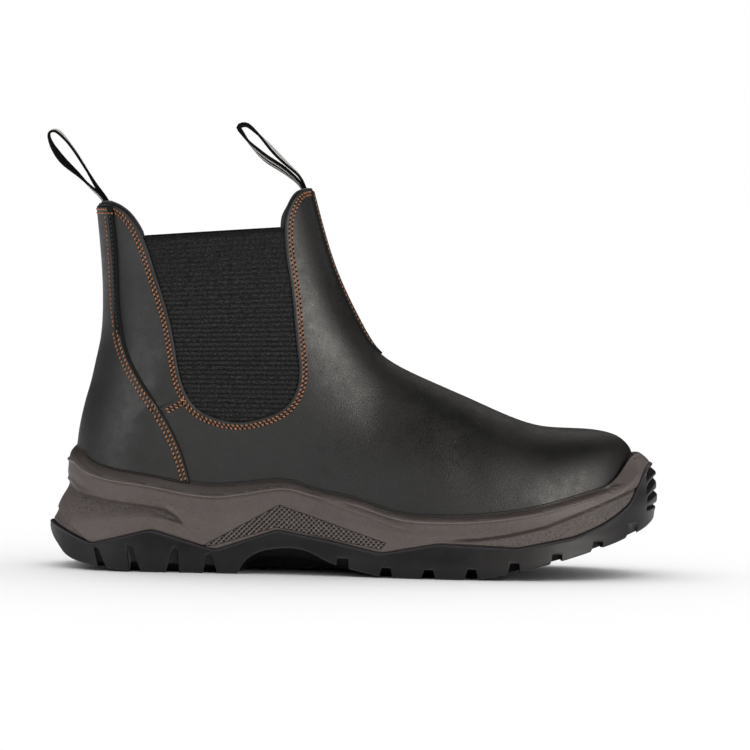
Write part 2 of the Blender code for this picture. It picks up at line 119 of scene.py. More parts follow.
# The sole's wall, by share of the way from the ground to the lip
WallRow = namedtuple("WallRow", "share heel_x toe_x inset")
SOLE_WALL = [
    WallRow(0.00, -147.3, 150.0, 0.6),
    WallRow(0.28, -148.6, 151.2, 0.0),
    WallRow(0.34, -149.0, 151.6, 0.5),
    WallRow(0.43, -146.5, 152.0, 1.2),
    WallRow(0.51, -144.7, 152.4, 1.8),
    WallRow(0.59, -142.2, 153.4, 2.4),
    WallRow(0.67, -139.9, 153.6, 3.2),
    WallRow(0.75, -140.6, 153.1, 3.0),
    WallRow(0.84, -140.4, 152.9, 2.6),
    WallRow(0.92, -139.8, 149.9, 2.9),
    WallRow(1.00, -136.6, 144.6, 4.4),
]
SOLE_MARGIN = 6.6

# Side-view curves, as places along the boot and heights
Point = namedtuple("Point", "x z")


def points(*pairs):
    return [Point(*pair) for pair in pairs]


LIP = points(
    (-142.0, 61.0), (-135.0, 59.8), (-128.0, 54.6), (-121.5, 51.6), (-102.0, 48.0), (-80.0, 44.2),
    (-66.5, 43.1), (-52.0, 44.2), (-39.0, 45.7), (-30.0, 45.7), (-18.5, 42.6), (5.3, 37.3),
    (22.6, 32.0), (40.0, 30.4), (75.7, 32.6), (97.0, 36.6), (118.3, 42.6), (129.0, 46.8), (134.5, 52.0),
    (139.5, 58.6), (146.0, 61.2), (156.0, 61.0),
)
DIVIDE = points(
    (-160.0, 29.0), (-147.5, 22.2), (-138.0, 17.8), (-127.0, 13.4), (-97.0, 21.0), (-65.5, 11.6),
    (-35.5, 22.0), (-10.8, 17.8), (16.0, 12.0), (44.0, 17.3), (83.0, 15.8), (111.0, 21.5),
    (124.0, 27.0), (132.0, 31.8), (139.5, 38.0), (142.8, 46.5), (146.0, 53.5), (150.0, 57.2),
    (160.0, 58.5),
)
HEEL_BEVEL = points(
    (-160.0, 38.0), (-147.8, 19.1), (-146.2, 14.3), (-144.2, 11.4), (-140.4, 7.0), (-137.6, 5.4),
    (-131.5, 3.5), (-122.0, 1.9), (-108.0, 0.4), (-98.0, -0.6),
)
ARCH = points(
    (-55.0, -1.0), (-53.6, 1.6), (-51.2, 5.8), (-47.7, 8.9), (-42.5, 11.4), (-36.0, 12.7),
    (-22.0, 12.5), (-16.5, 10.4), (-10.5, 7.3), (3.0, 3.2), (14.0, 0.9), (21.0, -0.6),
)
TOE_SPRING = points(
    (60.0, -0.6), (70.0, 1.3), (85.0, 4.8), (104.0, 9.8), (117.0, 13.8), (126.0, 16.8), (135.8, 20.4),
    (143.4, 23.7), (148.6, 27.2), (152.0, 31.0), (160.0, 42.0),
)
BACK_TAB = points((-128.8, 180.2), (-124.2, 181.0), (-119.4, 180.0), (-113.4, 176.6), (-108.8, 171.6))
TAB_NARROWER = 3.0
FRONT_TAB = points((-33.0, 178.2), (-30.6, 184.0), (-27.2, 188.4), (-23.8, 189.8), (-19.6, 190.2))
GUSSET_EDGE = points(
    (-104.4, 164.0), (-98.4, 148.0), (-91.8, 129.0), (-87.0, 109.0), (-82.6, 91.0), (-75.5, 80.6),
    (-66.0, 76.2), (-55.8, 74.6), (-43.0, 77.0), (-32.0, 82.8), (-26.2, 94.0), (-26.9, 111.0),
    (-30.2, 140.0), (-34.0, 170.6),
)
PANEL_EDGE = points(
    (-119.75, 179.6), (-117.0, 154.0), (-113.3, 117.0), (-110.0, 106.3), (-103.0, 93.6), (-95.6, 83.1),
    (-89.9, 73.8), (-83.9, 61.7), (-78.0, 43.0),
)
PANEL_TOP = 179.6
QUARTER_SEAM = points((-99.0, 77.6), (-93.2, 80.9), (-82.2, 87.1), (-76.0, 90.6))
STRIP_HALF = 9.5
STRIP_TOP = 188.6
STRIP_FOOT = 108.0

# Pull loops: the tape's middle line in side view, from one sewn end round to the other
BACK_LOOP = points(
    (-121.6, 168.0), (-123.6, 179.4), (-126.6, 183.8), (-131.4, 188.2), (-138.6, 195.0),
    (-145.2, 200.8), (-149.7, 206.4), (-152.6, 212.0), (-152.7, 215.2), (-150.4, 216.3),
    (-147.2, 214.6), (-143.3, 210.4), (-138.0, 203.2), (-132.9, 195.2), (-127.6, 187.0),
    (-123.0, 180.4), (-119.8, 168.0),
)
FRONT_LOOP = points(
    (-22.8, 176.0), (-25.0, 190.0), (-27.6, 195.2), (-32.8, 200.3), (-40.2, 207.2), (-47.2, 214.6),
    (-51.8, 218.9), (-56.0, 220.9), (-58.5, 219.6), (-57.5, 217.6), (-54.0, 213.0), (-49.6, 208.6),
    (-43.7, 203.7), (-37.9, 200.2), (-32.0, 196.0), (-27.4, 191.6), (-24.8, 176.0),
)

# Moulded lines on the midsole's wall
RIDGE = points(
    (-140.0, 51.5), (-128.0, 48.3), (-113.4, 45.3), (-96.8, 42.5), (-67.1, 37.8), (-50.6, 40.0),
    (-33.2, 42.6), (-23.9, 40.8), (5.4, 31.0), (34.7, 21.5), (60.0, 15.6),
)
HEEL_STEP = points(
    (-150.0, 44.0), (-138.3, 42.1), (-135.3, 39.2), (-129.6, 36.9), (-118.0, 34.7), (-100.6, 32.8),
    (-90.9, 31.4), (-85.0, 28.2), (-79.5, 22.8),
)
HEEL_HOLLOW = points(
    (-150.0, 24.0), (-120.4, 25.3), (-109.3, 26.4), (-98.6, 27.1), (-90.8, 26.3), (-84.9, 24.4),
    (-79.5, 23.1),
)
HEEL_FACET = points(
    (-150.0, 33.5), (-143.3, 27.3), (-139.6, 23.3), (-133.5, 18.9), (-127.2, 13.3), (-122.0, 9.0),
)
LIP_BAND = points(
    (-142.0, 7.5), (-128.0, 5.9), (-113.0, 5.2), (-97.0, 4.8), (-67.0, 5.2), (-50.0, 4.4), (-33.0, 3.2),
    (-18.0, 2.7), (10.0, 2.4), (125.0, 2.4), (150.0, 2.0),
)
WAIST_SLAB = points(
    (-60.0, 2.0), (-50.7, 5.0), (-42.6, 7.2), (-31.8, 8.1), (-22.9, 7.6), (-16.1, 6.3), (-6.0, 3.4),
    (6.0, 0.6),
)
WEDGE_TOP = points((-71.1, 13.9), (-34.5, 34.4), (17.3, 17.5))
WEDGE_FOOT = points((-71.1, 12.8), (-65.8, 13.6), (-35.8, 23.0), (5.7, 15.4), (17.3, 13.2))
FORE_LINE = points(
    (41.6, 18.3), (63.9, 19.7), (78.4, 21.9), (96.2, 26.1), (117.0, 34.2), (136.7, 42.4), (160.0, 52.0),
)

# Notches that part the lugs: where each meets the ground, how it leans towards its rounded top, and the
# height of its roof further in
Notch = namedtuple("Notch", "x foot_wide top_x top_wide top_z round roof")
NOTCHES = [
    Notch(-120.5, 4.4, -124.2, 2.6, 11.4, 1.2, 4.0),
    Notch(-104.6, 5.6, -107.6, 3.4, 13.2, 1.6, 5.0),
    Notch(-86.2, 6.6, -84.4, 2.8, 12.3, 1.3, 4.6),
    Notch(-67.8, 7.2, -68.2, 2.8, 9.4, 1.3, 4.2),
    Notch(-3.0, 6.8, -2.6, 5.4, 9.0, 0.5, 9.0),
    Notch(18.6, 6.8, 18.4, 4.6, 5.0, 0.6, 5.0),
    Notch(39.3, 7.2, 39.2, 4.6, 4.6, 0.6, 4.6),
    Notch(60.4, 6.8, 60.2, 4.2, 5.4, 0.6, 5.4),
    Notch(81.0, 6.8, 80.9, 4.6, 8.6, 0.6, 8.6),
    Notch(101.4, 6.8, 101.3, 5.0, 13.0, 0.5, 13.0),
    Notch(121.2, 6.8, 120.8, 5.2, 19.0, 0.5, 19.0),
    Notch(138.6, 6.8, 138.0, 5.0, 27.0, 0.5, 27.0),
]

# Grooves that run round the toe: height at the front, how steeply they fall backwards and where they start
ToeGroove = namedtuple("ToeGroove", "end_x end_z slope start_x")
TOE_GROOVES = [
    ToeGroove(149.2, 55.0, 2.2, 146.6),
    ToeGroove(151.1, 49.3, 1.4, 146.8),
    ToeGroove(152.3, 42.7, 0.8, 147.2),
    ToeGroove(152.3, 35.6, 0.2, 147.0),
]

# Soft hollows and swellings of the leather: where, on which side (-1 outer, 1 inner, 0 both),
# how long and wide, how the long way leans, and how far they stand out
Dent = namedtuple("Dent", "x z side long wide lean height")
DENTS = [
    Dent(-97.5, 77.5, -1, 9.0, 1.7, 40.0, -1.05),
    Dent(-99.5, 80.0, -1, 8.0, 2.2, 38.0, 0.60),
    Dent(-104.0, 71.0, 0, 16.0, 9.0, 70.0, 0.55),
    Dent(-118.0, 64.0, 0, 18.0, 12.0, 0.0, 0.50),
    Dent(-100.0, 112.0, 0, 18.0, 7.0, 80.0, -0.60),
    Dent(-96.0, 92.0, 0, 10.0, 6.0, 60.0, 0.45),
    Dent(-8.0, 118.0, 0, 26.0, 10.0, 100.0, 0.55),
    Dent(4.0, 92.0, 0, 30.0, 9.0, 135.0, -0.55),
    Dent(30.0, 74.0, 0, 26.0, 10.0, 150.0, -0.60),
    Dent(56.0, 62.0, 0, 20.0, 9.0, 110.0, -0.80),
    Dent(76.0, 58.0, 0, 18.0, 10.0, 60.0, 0.35),
    Dent(-58.0, 62.0, 0, 26.0, 9.0, 0.0, 0.35),
]

SIDE_BLEND = 8.0

# The back quarter: over what length its neighbours' edges lap it, and the limits within which it lies
LAP_SOFT = 0.8
QUARTER_AHEAD = -60.0
QUARTER_LOW = 70.0

# Size of a stitch, and how far the rows lie in from the edges. The rows across the back are given by
# height and by the turn at which they end.
STITCH_PITCH = 2.25
STITCH_LONG = 1.70
STITCH_WIDE = 0.90
STITCH_HIGH = 0.56
COLLAR_ROWS = (2.0, 3.5)
PANEL_ROWS = (2.0, 4.0)
PANEL_TOP_ROWS = (1.1, 3.2)
SEAM_ROWS = (1.9, 3.6)
STRIP_ROW = 2.0
BACK_ROWS = ((177.7, 0.47), (175.8, 0.57))


def spline(knots, values):
    """Cubic curve with continuous bend through the knots, straight on beyond both ends."""
    knots = np.asarray(knots, float)
    values = np.asarray(values, float)
    step = np.diff(knots)
    rise = np.diff(values) / step
    count = len(knots)
    system = np.eye(count)
    right = np.zeros(count)
    for i in range(1, count - 1):
        system[i, i - 1 : i + 2] = step[i - 1], 2.0 * (step[i - 1] + step[i]), step[i]
        right[i] = 6.0 * (rise[i] - rise[i - 1])
    bend = np.linalg.solve(system, right)
    first_slope = rise[0] - step[0] * bend[1] / 6.0
    last_slope = rise[-1] + step[-1] * bend[-2] / 6.0

    def value(at):
        at = np.asarray(at, float)
        held = np.clip(at, knots[0], knots[-1])
        i = np.clip(np.searchsorted(knots, held, side="right") - 1, 0, count - 2)
        ahead = knots[i + 1] - held
        behind = held - knots[i]
        curve = (bend[i] * ahead**3 + bend[i + 1] * behind**3) / (6.0 * step[i])
        curve += (values[i] / step[i] - bend[i] * step[i] / 6.0) * ahead
        curve += (values[i + 1] / step[i] - bend[i + 1] * step[i] / 6.0) * behind
        beyond = np.where(at < knots[0], first_slope, last_slope) * (at - held)
        return curve + beyond

    return value


def columns(rows, knots=None):
    """One spline for each named column, along the knots or else along the table's first column."""
    names = rows[0]._fields
    if knots is None:
        knots = [row[0] for row in rows]
        names = names[1:]
    return {name: spline(knots, [getattr(row, name) for row in rows]) for name in names}


RING = columns(RINGS, range(len(RINGS)))
FOOT = columns(STATIONS)
SHAFT_HALF = columns(SHAFT)["half"]
SOLE = columns(SOLE_WALL)
LIP_Z = columns(LIP)["z"]


def front_line():
    """Height of the upper's front line above a place along the boot, straight on behind the collar."""
    rings = np.linspace(FIRST_TOP_RING, TOP_RING, 4000)
    x = RING["front_x"](rings)
    z = RING["front_z"](rings)
    slope = (z[-1] - z[-40]) / (x[-1] - x[-40])

    def height(at):
        at = np.asarray(at, float)
        return np.interp(at, x[::-1], z[::-1]) + slope * np.minimum(at - x[-1], 0.0)

    return height


FRONT_Z = front_line()


def eased(share):
    """0 to 1 with a level start and end."""
    share = np.clip(share, 0.0, 1.0)
    return share * share * (3.0 - 2.0 * share)


def ramp(value, start, length):
    """0 up to the start, then eased up to 1 over the length."""
    return eased((value - start) / length)


def hump(value, middle, wide):
    """1 at the middle, fading to 0 on both sides of it."""
    return np.exp(-(((value - middle) / wide) ** 2))


def between(first, last, share):
    return first + (last - first) * share


def way_along(turn):
    """Share of the way from back to front for a turn round from the back."""
    return (1.0 - np.cos(turn)) / 2.0


def turn_for(along):
    """Turn on the outer side for a share of the way from back to front."""
    return np.arccos(1.0 - 2.0 * along)


def halved(low, high, shape, over):
    """Value from which over holds on the way from low to high, for each place in an array of that shape."""
    low = np.full(shape, low, float)
    high = np.full(shape, high, float)
    for _ in range(36):
        middle = (low + high) / 2.0
        is_over = over(middle)
        high = np.where(is_over, middle, high)
        low = np.where(is_over, low, middle)
    return middle


def closing(depth, power):
    """1 inside the body and 0 at its end, where depth is 1."""
    return np.sqrt(np.clip(1.0 - np.clip(depth, 0.0, 1.0) ** power, 0.0, 1.0))


def unit(way):
    """Directions of length 1."""
    return way / np.linalg.norm(way, axis=-1, keepdims=True)


def plan_middle(x):
    return (FOOT["inner"](x) - FOOT["outer"](x)) / 2.0


def plan_half(x):
    return (FOOT["inner"](x) + FOOT["outer"](x)) / 2.0


def smooth_line(rows, count):
    """Evenly spaced points on a smooth side-view curve through the rows given."""
    rows = np.array(rows, float)
    length = travelled(rows)
    at = np.linspace(0.0, length[-1], count)
    return np.stack([spline(length, rows[:, 0])(at), spline(length, rows[:, 1])(at)], axis=1)


def travelled(line):
    """Length along a line of points, from its start to each point."""
    return np.concatenate([[0.0], np.cumsum(np.linalg.norm(np.diff(line, axis=0), axis=1))])


def points_at(at, length, line):
    """Points at lengths along a line, given with its own lengths."""
    return np.stack([np.interp(at, length, column) for column in line.T], axis=1)


def shifted_in(line, distance):
    """Side-view line moved to its left by the distance, or by one distance for each point."""
    run = unit(np.gradient(np.asarray(line, float), axis=0))
    return line + np.asarray(distance, float)[..., None] * np.stack([-run[:, 1], run[:, 0]], axis=1)


def away_from(x, z, line):
    """Distance in side view from each place to a line of points."""
    best = np.full(np.shape(x), 1e9)
    for (ax, az), (bx, bz) in zip(line[:-1], line[1:]):
        run_x = bx - ax
        run_z = bz - az
        share = np.clip(((x - ax) * run_x + (z - az) * run_z) / (run_x**2 + run_z**2), 0.0, 1.0)
        best = np.minimum(best, np.hypot(x - ax - share * run_x, z - az - share * run_z))
    return best


def within(x, z, outline):
    """Which side-view places lie inside a closed outline."""
    found = np.zeros(np.shape(x), bool)
    closed = list(outline) + [outline[0]]
    for (ax, az), (bx, bz) in zip(closed[:-1], closed[1:]):
        if az == bz:
            continue
        spans = (az > z) != (bz > z)
        found ^= spans & (x < ax + (z - az) * (bx - ax) / (bz - az))
    return found


def line_z(x, line):
    """Height of a side-view line of points at places along the boot."""
    return np.interp(x, *np.array(line, float).T)


def above(x, z, line):
    """How far each side-view place lies over a line that runs along the boot."""
    slope = line_z(x + 0.5, line) - line_z(x - 0.5, line)
    return (z - line_z(x, line)) / np.hypot(1.0, slope)


# The upper's skin


def upper_skin(ring, turn):
    """Point on the outside of the upper: ring counts up from the sole, turn runs round from the back."""
    ring, turn = np.broadcast_arrays(np.asarray(ring, float), np.asarray(turn, float))
    row = {name: value(ring) for name, value in RING.items()}
    along = way_along(turn)
    x = between(row["back_x"], row["front_x"], along)
    z = ring_height(ring, x, along)
    share = ramp(z, SHAFT_FROM, SHAFT_FULL - SHAFT_FROM)
    half = plan_half(x) * (1.0 - share) + SHAFT_HALF(z) * share
    floor = FOOT["floor_z"](x)
    rise = np.clip((z - floor) / (FRONT_Z(x) - floor), 0.0, 1.0)
    half = half * closing(rise, FOOT["power"](x))
    half = half * closing((row["back_x"] + row["back_round"] - x) / row["back_round"], 2.0)
    half = half * closing((x - TOE_X - TOE_BLUNT + TOE_ROUND) / TOE_ROUND, ROUND_POWER)
    side = -np.sign(np.sin(turn))
    y = plan_middle(x) * (1.0 - share) + side * half
    return np.stack([x, y, z], axis=-1)


def ring_height(ring, x, along):
    """Height of a ring at a share of the way along it. The lowest rings follow the floor inside the sole."""
    z = between(RING["back_z"](ring), RING["front_z"](ring), along)
    low = np.clip(1.0 - ring / FLOOR_RINGS, 0.0, 1.0) ** 2
    start = between(RINGS[0].back_z, RINGS[0].front_z, along)
    return z + low * (FOOT["floor_z"](x) + GAP - start)


def skin_normal(ring, turn):
    """Direction straight out of the upper's skin."""
    small = 0.01
    up = upper_skin(np.minimum(ring + small, TOP_RING), turn)
    up = up - upper_skin(np.maximum(ring - small, 0.0), turn)
    round_ = upper_skin(ring, turn + small) - upper_skin(ring, turn - small)
    return unit(np.cross(round_, up))


def relief(place):
    """How far the leather stands out of the skin: its soft dents, and the back quarter that lies deeper."""
    x, y, z = np.moveaxis(place, -1, 0)
    total = np.zeros(x.shape)
    for dent in DENTS:
        lean = math.radians(dent.lean)
        run = (x - dent.x) * math.cos(lean) + (z - dent.z) * math.sin(lean)
        off = (z - dent.z) * math.cos(lean) - (x - dent.x) * math.sin(lean)
        here = 1.0 if dent.side == 0 else eased(0.5 + dent.side * y / SIDE_BLEND)
        total = total + here * dent.height * np.exp(-((run / dent.long) ** 2) - (off / dent.wide) ** 2)
    edge = np.array(PANEL_EDGE)[::-1]
    ahead = x - np.interp(z, edge[:, 1], edge[:, 0])
    under = ramp(above(x, z, QUARTER_SEAM), 0.0, LAP_SOFT) * ramp(ahead, -2.0 * LAP_SOFT, LAP_SOFT)
    return total - QUARTER_THICK * under * (x < QUARTER_AHEAD) * (z > QUARTER_LOW)


def skin(ring, turn, proud=0.0):
    """Points that stand proud of the leather, or inside it where proud is negative."""
    base = upper_skin(ring, turn)
    out = np.asarray(proud, float) + relief(base)
    return base + skin_normal(np.asarray(ring, float), np.asarray(turn, float)) * out[..., None]


def ring_at(x, z):
    """Ring and turn, on the outer side, of the skin at a side-view place."""
    x, z = np.broadcast_arrays(np.asarray(x, float), np.asarray(z, float))
    ring = halved(0.0, TOP_RING, x.shape, lambda ring: ring_height(ring, x, along_ring(ring, x)) > z)
    return ring, turn_for(along_ring(ring, x))


def along_ring(ring, x):
    back = RING["back_x"](ring)
    return np.clip((x - back) / (RING["front_x"](ring) - back), 0.0, 1.0)


def ring_on_line(turn, height_at):
    """Ring at which the skin's height meets a side-view line, for each turn."""

    def over(ring):
        place = upper_skin(ring, turn)
        return place[..., 2] > height_at(place[..., 0])

    return halved(0.0, TOP_RING, np.shape(turn), over)


def on_side(turn, side):
    """The same turn on the outer side (-1) or mirrored to the inner side (1)."""
    return turn if side < 0 else FULL_TURN - turn


def paced_line(line, step):
    """Side-view points about a step apart on the skin, along a side-view line."""
    length = travelled(line)
    dense = points_at(way_along(np.linspace(0.0, np.pi, 3000)) * length[-1], length, line)
    length = travelled(upper_skin(*ring_at(*dense.T)))
    return points_at(np.linspace(0.0, length[-1], int(round(length[-1] / step)) + 1), length, dense)


def on_inner(line):
    """Side-view line of the collar as it runs on the inner side, whose back tab is a little narrower."""
    x, z = line.T
    away = ramp(x, -127.0, 10.0) * ramp(-x, 84.0, 10.0) * ramp(z, 100.0, 60.0)
    return np.stack([x - TAB_NARROWER * away, z], axis=1)


def collar_line(side=-1):
    """The upper's top edge in side view: back tab, cut-out for the elastic, front tab."""
    line = smooth_line(BACK_TAB + GUSSET_EDGE + FRONT_TAB, 400)
    return line if side < 0 else on_inner(line)


# Gathering meshes


class Shell:
    """Points and faces of one piece, with a finish number for each face and a mask for each point."""

    def __init__(self):
        self.points = []
        self.masks = []
        self.faces = []
        self.finishes = []
        self.count = 0

    def add(self, made, faces=(), finish=0, mask=0.0):
        made = np.asarray(made, float).reshape(-1, 3)
        faces = np.asarray(faces, int) + self.count
        self.points.append(made)
        self.masks.append(np.broadcast_to(np.asarray(mask, float).reshape(-1), (len(made),)))
        self.faces += faces.tolist()
        self.finishes += np.broadcast_to(np.asarray(finish, int), (len(faces),)).tolist()
        self.count += len(made)

    def add_faces(self, faces, finish=0):
        """Faces between points that are already there."""
        self.faces += [list(face) for face in faces]
        self.finishes += [finish] * len(faces)


def grid_faces(rows, across, wrap=False):
    """Quads of a grid of points, closed round its second way if it wraps."""
    last = across if wrap else across - 1
    row = np.arange(rows - 1)[:, None] * across
    here = np.arange(last)[None, :]
    there = (here + 1) % across
    corners = [row + here, row + there, row + across + there, row + across + here]
    return np.stack(corners, axis=-1).reshape(-1, 4)


def cap_faces(start, count):
    """Closes a ring whose point i lies across from point count - 1 - i."""
    i = np.arange(count // 2 - 1)
    end = start + count - 1
    return np.stack([start + i, start + i + 1, end - 1 - i, end - i], axis=-1).tolist()


def add_hoop(shell, rows):
    """Closed hoop whose rows of points run round the boot."""
    grid = np.stack(rows, axis=1)
    grid = np.concatenate([grid, grid[:1]])
    shell.add(grid, grid_faces(len(grid), len(rows), wrap=True))


def add_plate(shell, front, back, finish=0, mask=0.0):
    """Closed plate between a front grid and a back grid."""
    rows, across, _ = front.shape
    size = rows * across
    faces = grid_faces(rows, across)
    border = np.concatenate([
        np.arange(across - 1),
        np.arange(rows - 1) * across + across - 1,
        size - 1 - np.arange(across - 1),
        (rows - 1 - np.arange(rows - 1)) * across,
    ])
    following = np.roll(border, -1)
    edge = np.stack([border, border + size, following + size, following], axis=-1)
    everything = np.concatenate([faces, faces[:, ::-1] + size, edge])
    if np.ndim(finish):
        finish = np.concatenate([np.ravel(finish), np.ravel(finish), np.zeros(len(edge), int)])
    made = np.concatenate([front.reshape(-1, 3), back.reshape(-1, 3)])
    if np.ndim(mask) == 2:
        mask = np.stack([mask, mask])
    shell.add(made, everything, finish, mask)


def make_piece(name, shell, materials, node=None, sharp=None):
    """Blender object of the gathered mesh, which rides on the boot's one body."""
    mesh = bpy.data.meshes.new(name)
    mesh.from_pydata((np.concatenate(shell.points) * MM).tolist(), [], shell.faces)
    mesh.polygons.foreach_set("material_index", shell.finishes)
    mask = mesh.attributes.new("mask", "FLOAT", "POINT")
    mask.data.foreach_set("value", np.concatenate(shell.masks).astype(np.float32))
    tidy = bmesh.new()
    tidy.from_mesh(mesh)
    bmesh.ops.remove_doubles(tidy, verts=tidy.verts[:], dist=1e-6)
    bmesh.ops.recalc_face_normals(tidy, faces=tidy.faces[:])
    tidy.to_mesh(mesh)
    tidy.free()
    mesh.polygons.foreach_set("use_smooth", [True] * len(mesh.polygons))
    if sharp:
        mesh.set_sharp_from_angle(angle=math.radians(sharp))
    for material in materials:
        mesh.materials.append(material)
    piece = bpy.data.objects.new(name, mesh)
    bpy.context.scene.collection.objects.link(piece)
    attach(piece, "root")
    if node:
        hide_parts(node)
    return piece


def make_plate(name, front, back, materials, slot, finish=0, mask=0.0):
    """Piece made of one plate, in place of the CAD piece that its slot is named after."""
    shell = Shell()
    add_plate(shell, front, back, finish, mask)
    make_piece(name, shell, materials, slot)


# Leather upper

UPPER_AROUND = 300
UPPER_STEP = 2.0
TRIM_UNDER_EDGE = 1.2
FAR_INSIDE = 50.0
UNCUT_BELOW = 60.0
BEHIND_X = -170.0
AHEAD_X = 30.0
OVER_Z = 240.0
COLLAR_STEP = 1.8
TABS_PART_X = -68.0
EDGE_PROFILE = [
    (2.05, -0.25), (1.95, 0.04), (1.6, 0.16), (1.1, 0.20), (0.62, 0.12), (0.26, -0.10), (0.06, -0.45),
    (0.0, -0.9), (0.06, -1.3), (0.4, -1.55), (1.4, -1.6),
]
LINING_PROFILE = [
    (2.4, -1.45), (0.9, -1.3), (0.2, -1.35), (0.0, -1.7), (0.05, -2.1), (0.4, -2.5), (1.2, -2.75),
    (2.6, -2.55),
]
WELT_PROFILE = [(-0.9, -0.3), (-0.5, 0.35), (0.2, 0.42), (0.8, 0.36), (1.15, 0.1), (1.25, -0.3)]
WELT_STEP = 1.6
LINING_BACK = points((160.0, -0.6), (166.0, 0.7), (182.0, 0.7))
LINING_FRONT = points((160.0, -0.6), (167.0, 1.7), (176.0, 1.6), (181.0, 0.5), (190.0, 0.4))


def even_rings():
    """Rings about a step apart where they lie furthest from each other."""
    dense = np.linspace(0.0, TOP_RING, 600)
    back = np.stack([RING["back_x"](dense), RING["back_z"](dense)], axis=1)
    front = np.stack([RING["front_x"](dense), RING["front_z"](dense)], axis=1)
    steps = np.maximum(np.diff(travelled(back)), np.diff(travelled(front)))
    length = np.concatenate([[0.0], np.cumsum(steps)])
    return np.interp(np.arange(0.0, length[-1], UPPER_STEP), length, dense)


def leather_gap(place):
    """How far inside the leather's trimmed edge a place lies; negative where the leather is cut away."""
    x, y, z = np.moveaxis(place, -1, 0)
    gap = np.full(x.shape, FAR_INSIDE)
    for side in (-1, 1):
        line = shifted_in(collar_line(side), -TRIM_UNDER_EDGE)
        outline = [(BEHIND_X, line[0, 1]), *line, (AHEAD_X, line[-1, 1])]
        here = (z > UNCUT_BELOW) & (side * y > 0.0)
        cut = within(x[here], z[here], outline + [(AHEAD_X, OVER_Z), (BEHIND_X, OVER_Z)])
        gap[here] = away_from(x[here], z[here], outline) * np.where(cut, -1.0, 1.0)
    return gap


def snapped(ring, turn, gap):
    """Moves points next to the line where gap is zero onto it. Returns the grid and which points moved."""
    new_ring = ring.copy()
    new_turn = turn.copy()
    reach = np.full(gap.shape, np.inf)
    for axis, way in ((0, 1), (0, -1), (1, 1), (1, -1)):
        other_gap = np.roll(gap, -way, axis)
        other_ring = np.roll(ring, -way, axis)
        other_turn = turn + (way * FULL_TURN / turn.shape[1] if axis else 0.0)
        crossing = (gap > 0.0) != (other_gap > 0.0)
        if axis == 0:
            crossing[-1 if way > 0 else 0] = False
        share = np.where(crossing, gap / np.where(crossing, gap - other_gap, 1.0), 1.0)
        nearer = crossing & (share <= 0.5) & (share < reach)
        new_ring[nearer] = (ring + share * (other_ring - ring))[nearer]
        new_turn[nearer] = (turn + share * (other_turn - turn))[nearer]
        reach[nearer] = share[nearer]
    return new_ring, new_turn, np.isfinite(reach)


def kept_faces(gap, on_line):
    """Faces of the trimmed grid: whole quads, and triangles where one corner is cut away."""
    rows, across = gap.shape
    quads = grid_faces(rows, across, wrap=True)
    inside = ((gap > 0.0) & ~on_line).ravel()[quads]
    outside = ((gap <= 0.0) & ~on_line).ravel()[quads]
    whole = quads[~outside.any(axis=1) & inside.any(axis=1)]
    corner = outside.argmax(axis=1)
    turned = np.take_along_axis(quads, (corner[:, None] + np.arange(1, 4)) % 4, axis=1)
    cut = (outside.sum(axis=1) == 1) & (inside.sum(axis=1) == 1)
    cut &= np.take_along_axis(inside, ((corner + 2) % 4)[:, None], axis=1)[:, 0]
    return whole.tolist() + turned[cut].tolist()


def border_edges(faces):
    """Edges that belong to one face only, each with its face's direction."""
    seen = {}
    for face in faces:
        for a, b in zip(face, face[1:] + face[:1]):
            key = (min(a, b), max(a, b))
            seen[key] = None if key in seen else (a, b)
    return [edge for edge in seen.values() if edge]


def make_upper(leather, lining):
    turns = (np.arange(UPPER_AROUND) + 0.5) * FULL_TURN / UPPER_AROUND
    ring, turn = np.meshgrid(even_rings(), turns, indexing="ij")
    gap = leather_gap(upper_skin(ring, turn))
    ring, turn, on_line = snapped(ring, turn, gap)
    faces = kept_faces(gap, on_line)
    used = np.zeros(ring.size, bool)
    for face in faces:
        used[face] = True
    number = np.cumsum(used) - 1
    faces = [[int(number[i]) for i in face] for face in faces]
    ring = ring.ravel()[used]
    turn = turn.ravel()[used]
    count = len(ring)
    shell = Shell()
    shell.add([skin(ring, turn), skin(ring, turn, -WALL)])
    shell.add_faces(faces)
    shell.add_faces([[i + count for i in face[::-1]] for face in faces], 1)
    shell.add_faces([(b, a, a + count, b + count) for a, b in border_edges(faces)])
    make_piece("upper_leather", shell, [leather, lining], "upper")


def lining_reach(line):
    """How far the lining stands out past the leather's edge, by height on the back and front tabs."""
    x, z = line.T
    return np.where(x < TABS_PART_X, line_z(z, LINING_BACK), line_z(z, LINING_FRONT))


def add_collar_roll(shell, profile, reach):
    """Rounded strip all round the collar. Profile rows say how far in from the edge, and how proud."""
    line = paced_line(collar_line(), COLLAR_STEP)
    rows = []
    for inset, proud in profile:
        moved = shifted_in(line, -(inset - (reach(line) if inset < 0.5 else 0.0)))
        outer = skin(*ring_at(*moved.T), proud)
        ring, turn = ring_at(*on_inner(moved).T)
        inner = skin(ring, on_side(turn, 1), proud)
        rows.append(np.concatenate([outer, inner[-2:0:-1]]))
    add_hoop(shell, rows)


def make_collar(edge_leather, lining):
    edge = Shell()
    add_collar_roll(edge, EDGE_PROFILE, lambda line: np.zeros(len(line)))
    make_piece("collar_edge", edge, [edge_leather])
    inside = Shell()
    add_collar_roll(inside, LINING_PROFILE, lining_reach)
    make_piece("lining_edge", inside, [lining])


def make_welt(edge_leather):
    """Narrow rolled edge where the leather goes into the sole."""
    turns = both_sides(even_turns(WELT_STEP))
    rows = []
    for over, proud in WELT_PROFILE:
        rows.append(skin(ring_on_line(turns, lambda x: LIP_Z(x) + over), turns, proud))
    shell = Shell()
    add_hoop(shell, rows)
    make_piece("leather_welt", shell, [edge_leather])


# Heel panel, seam and front strip

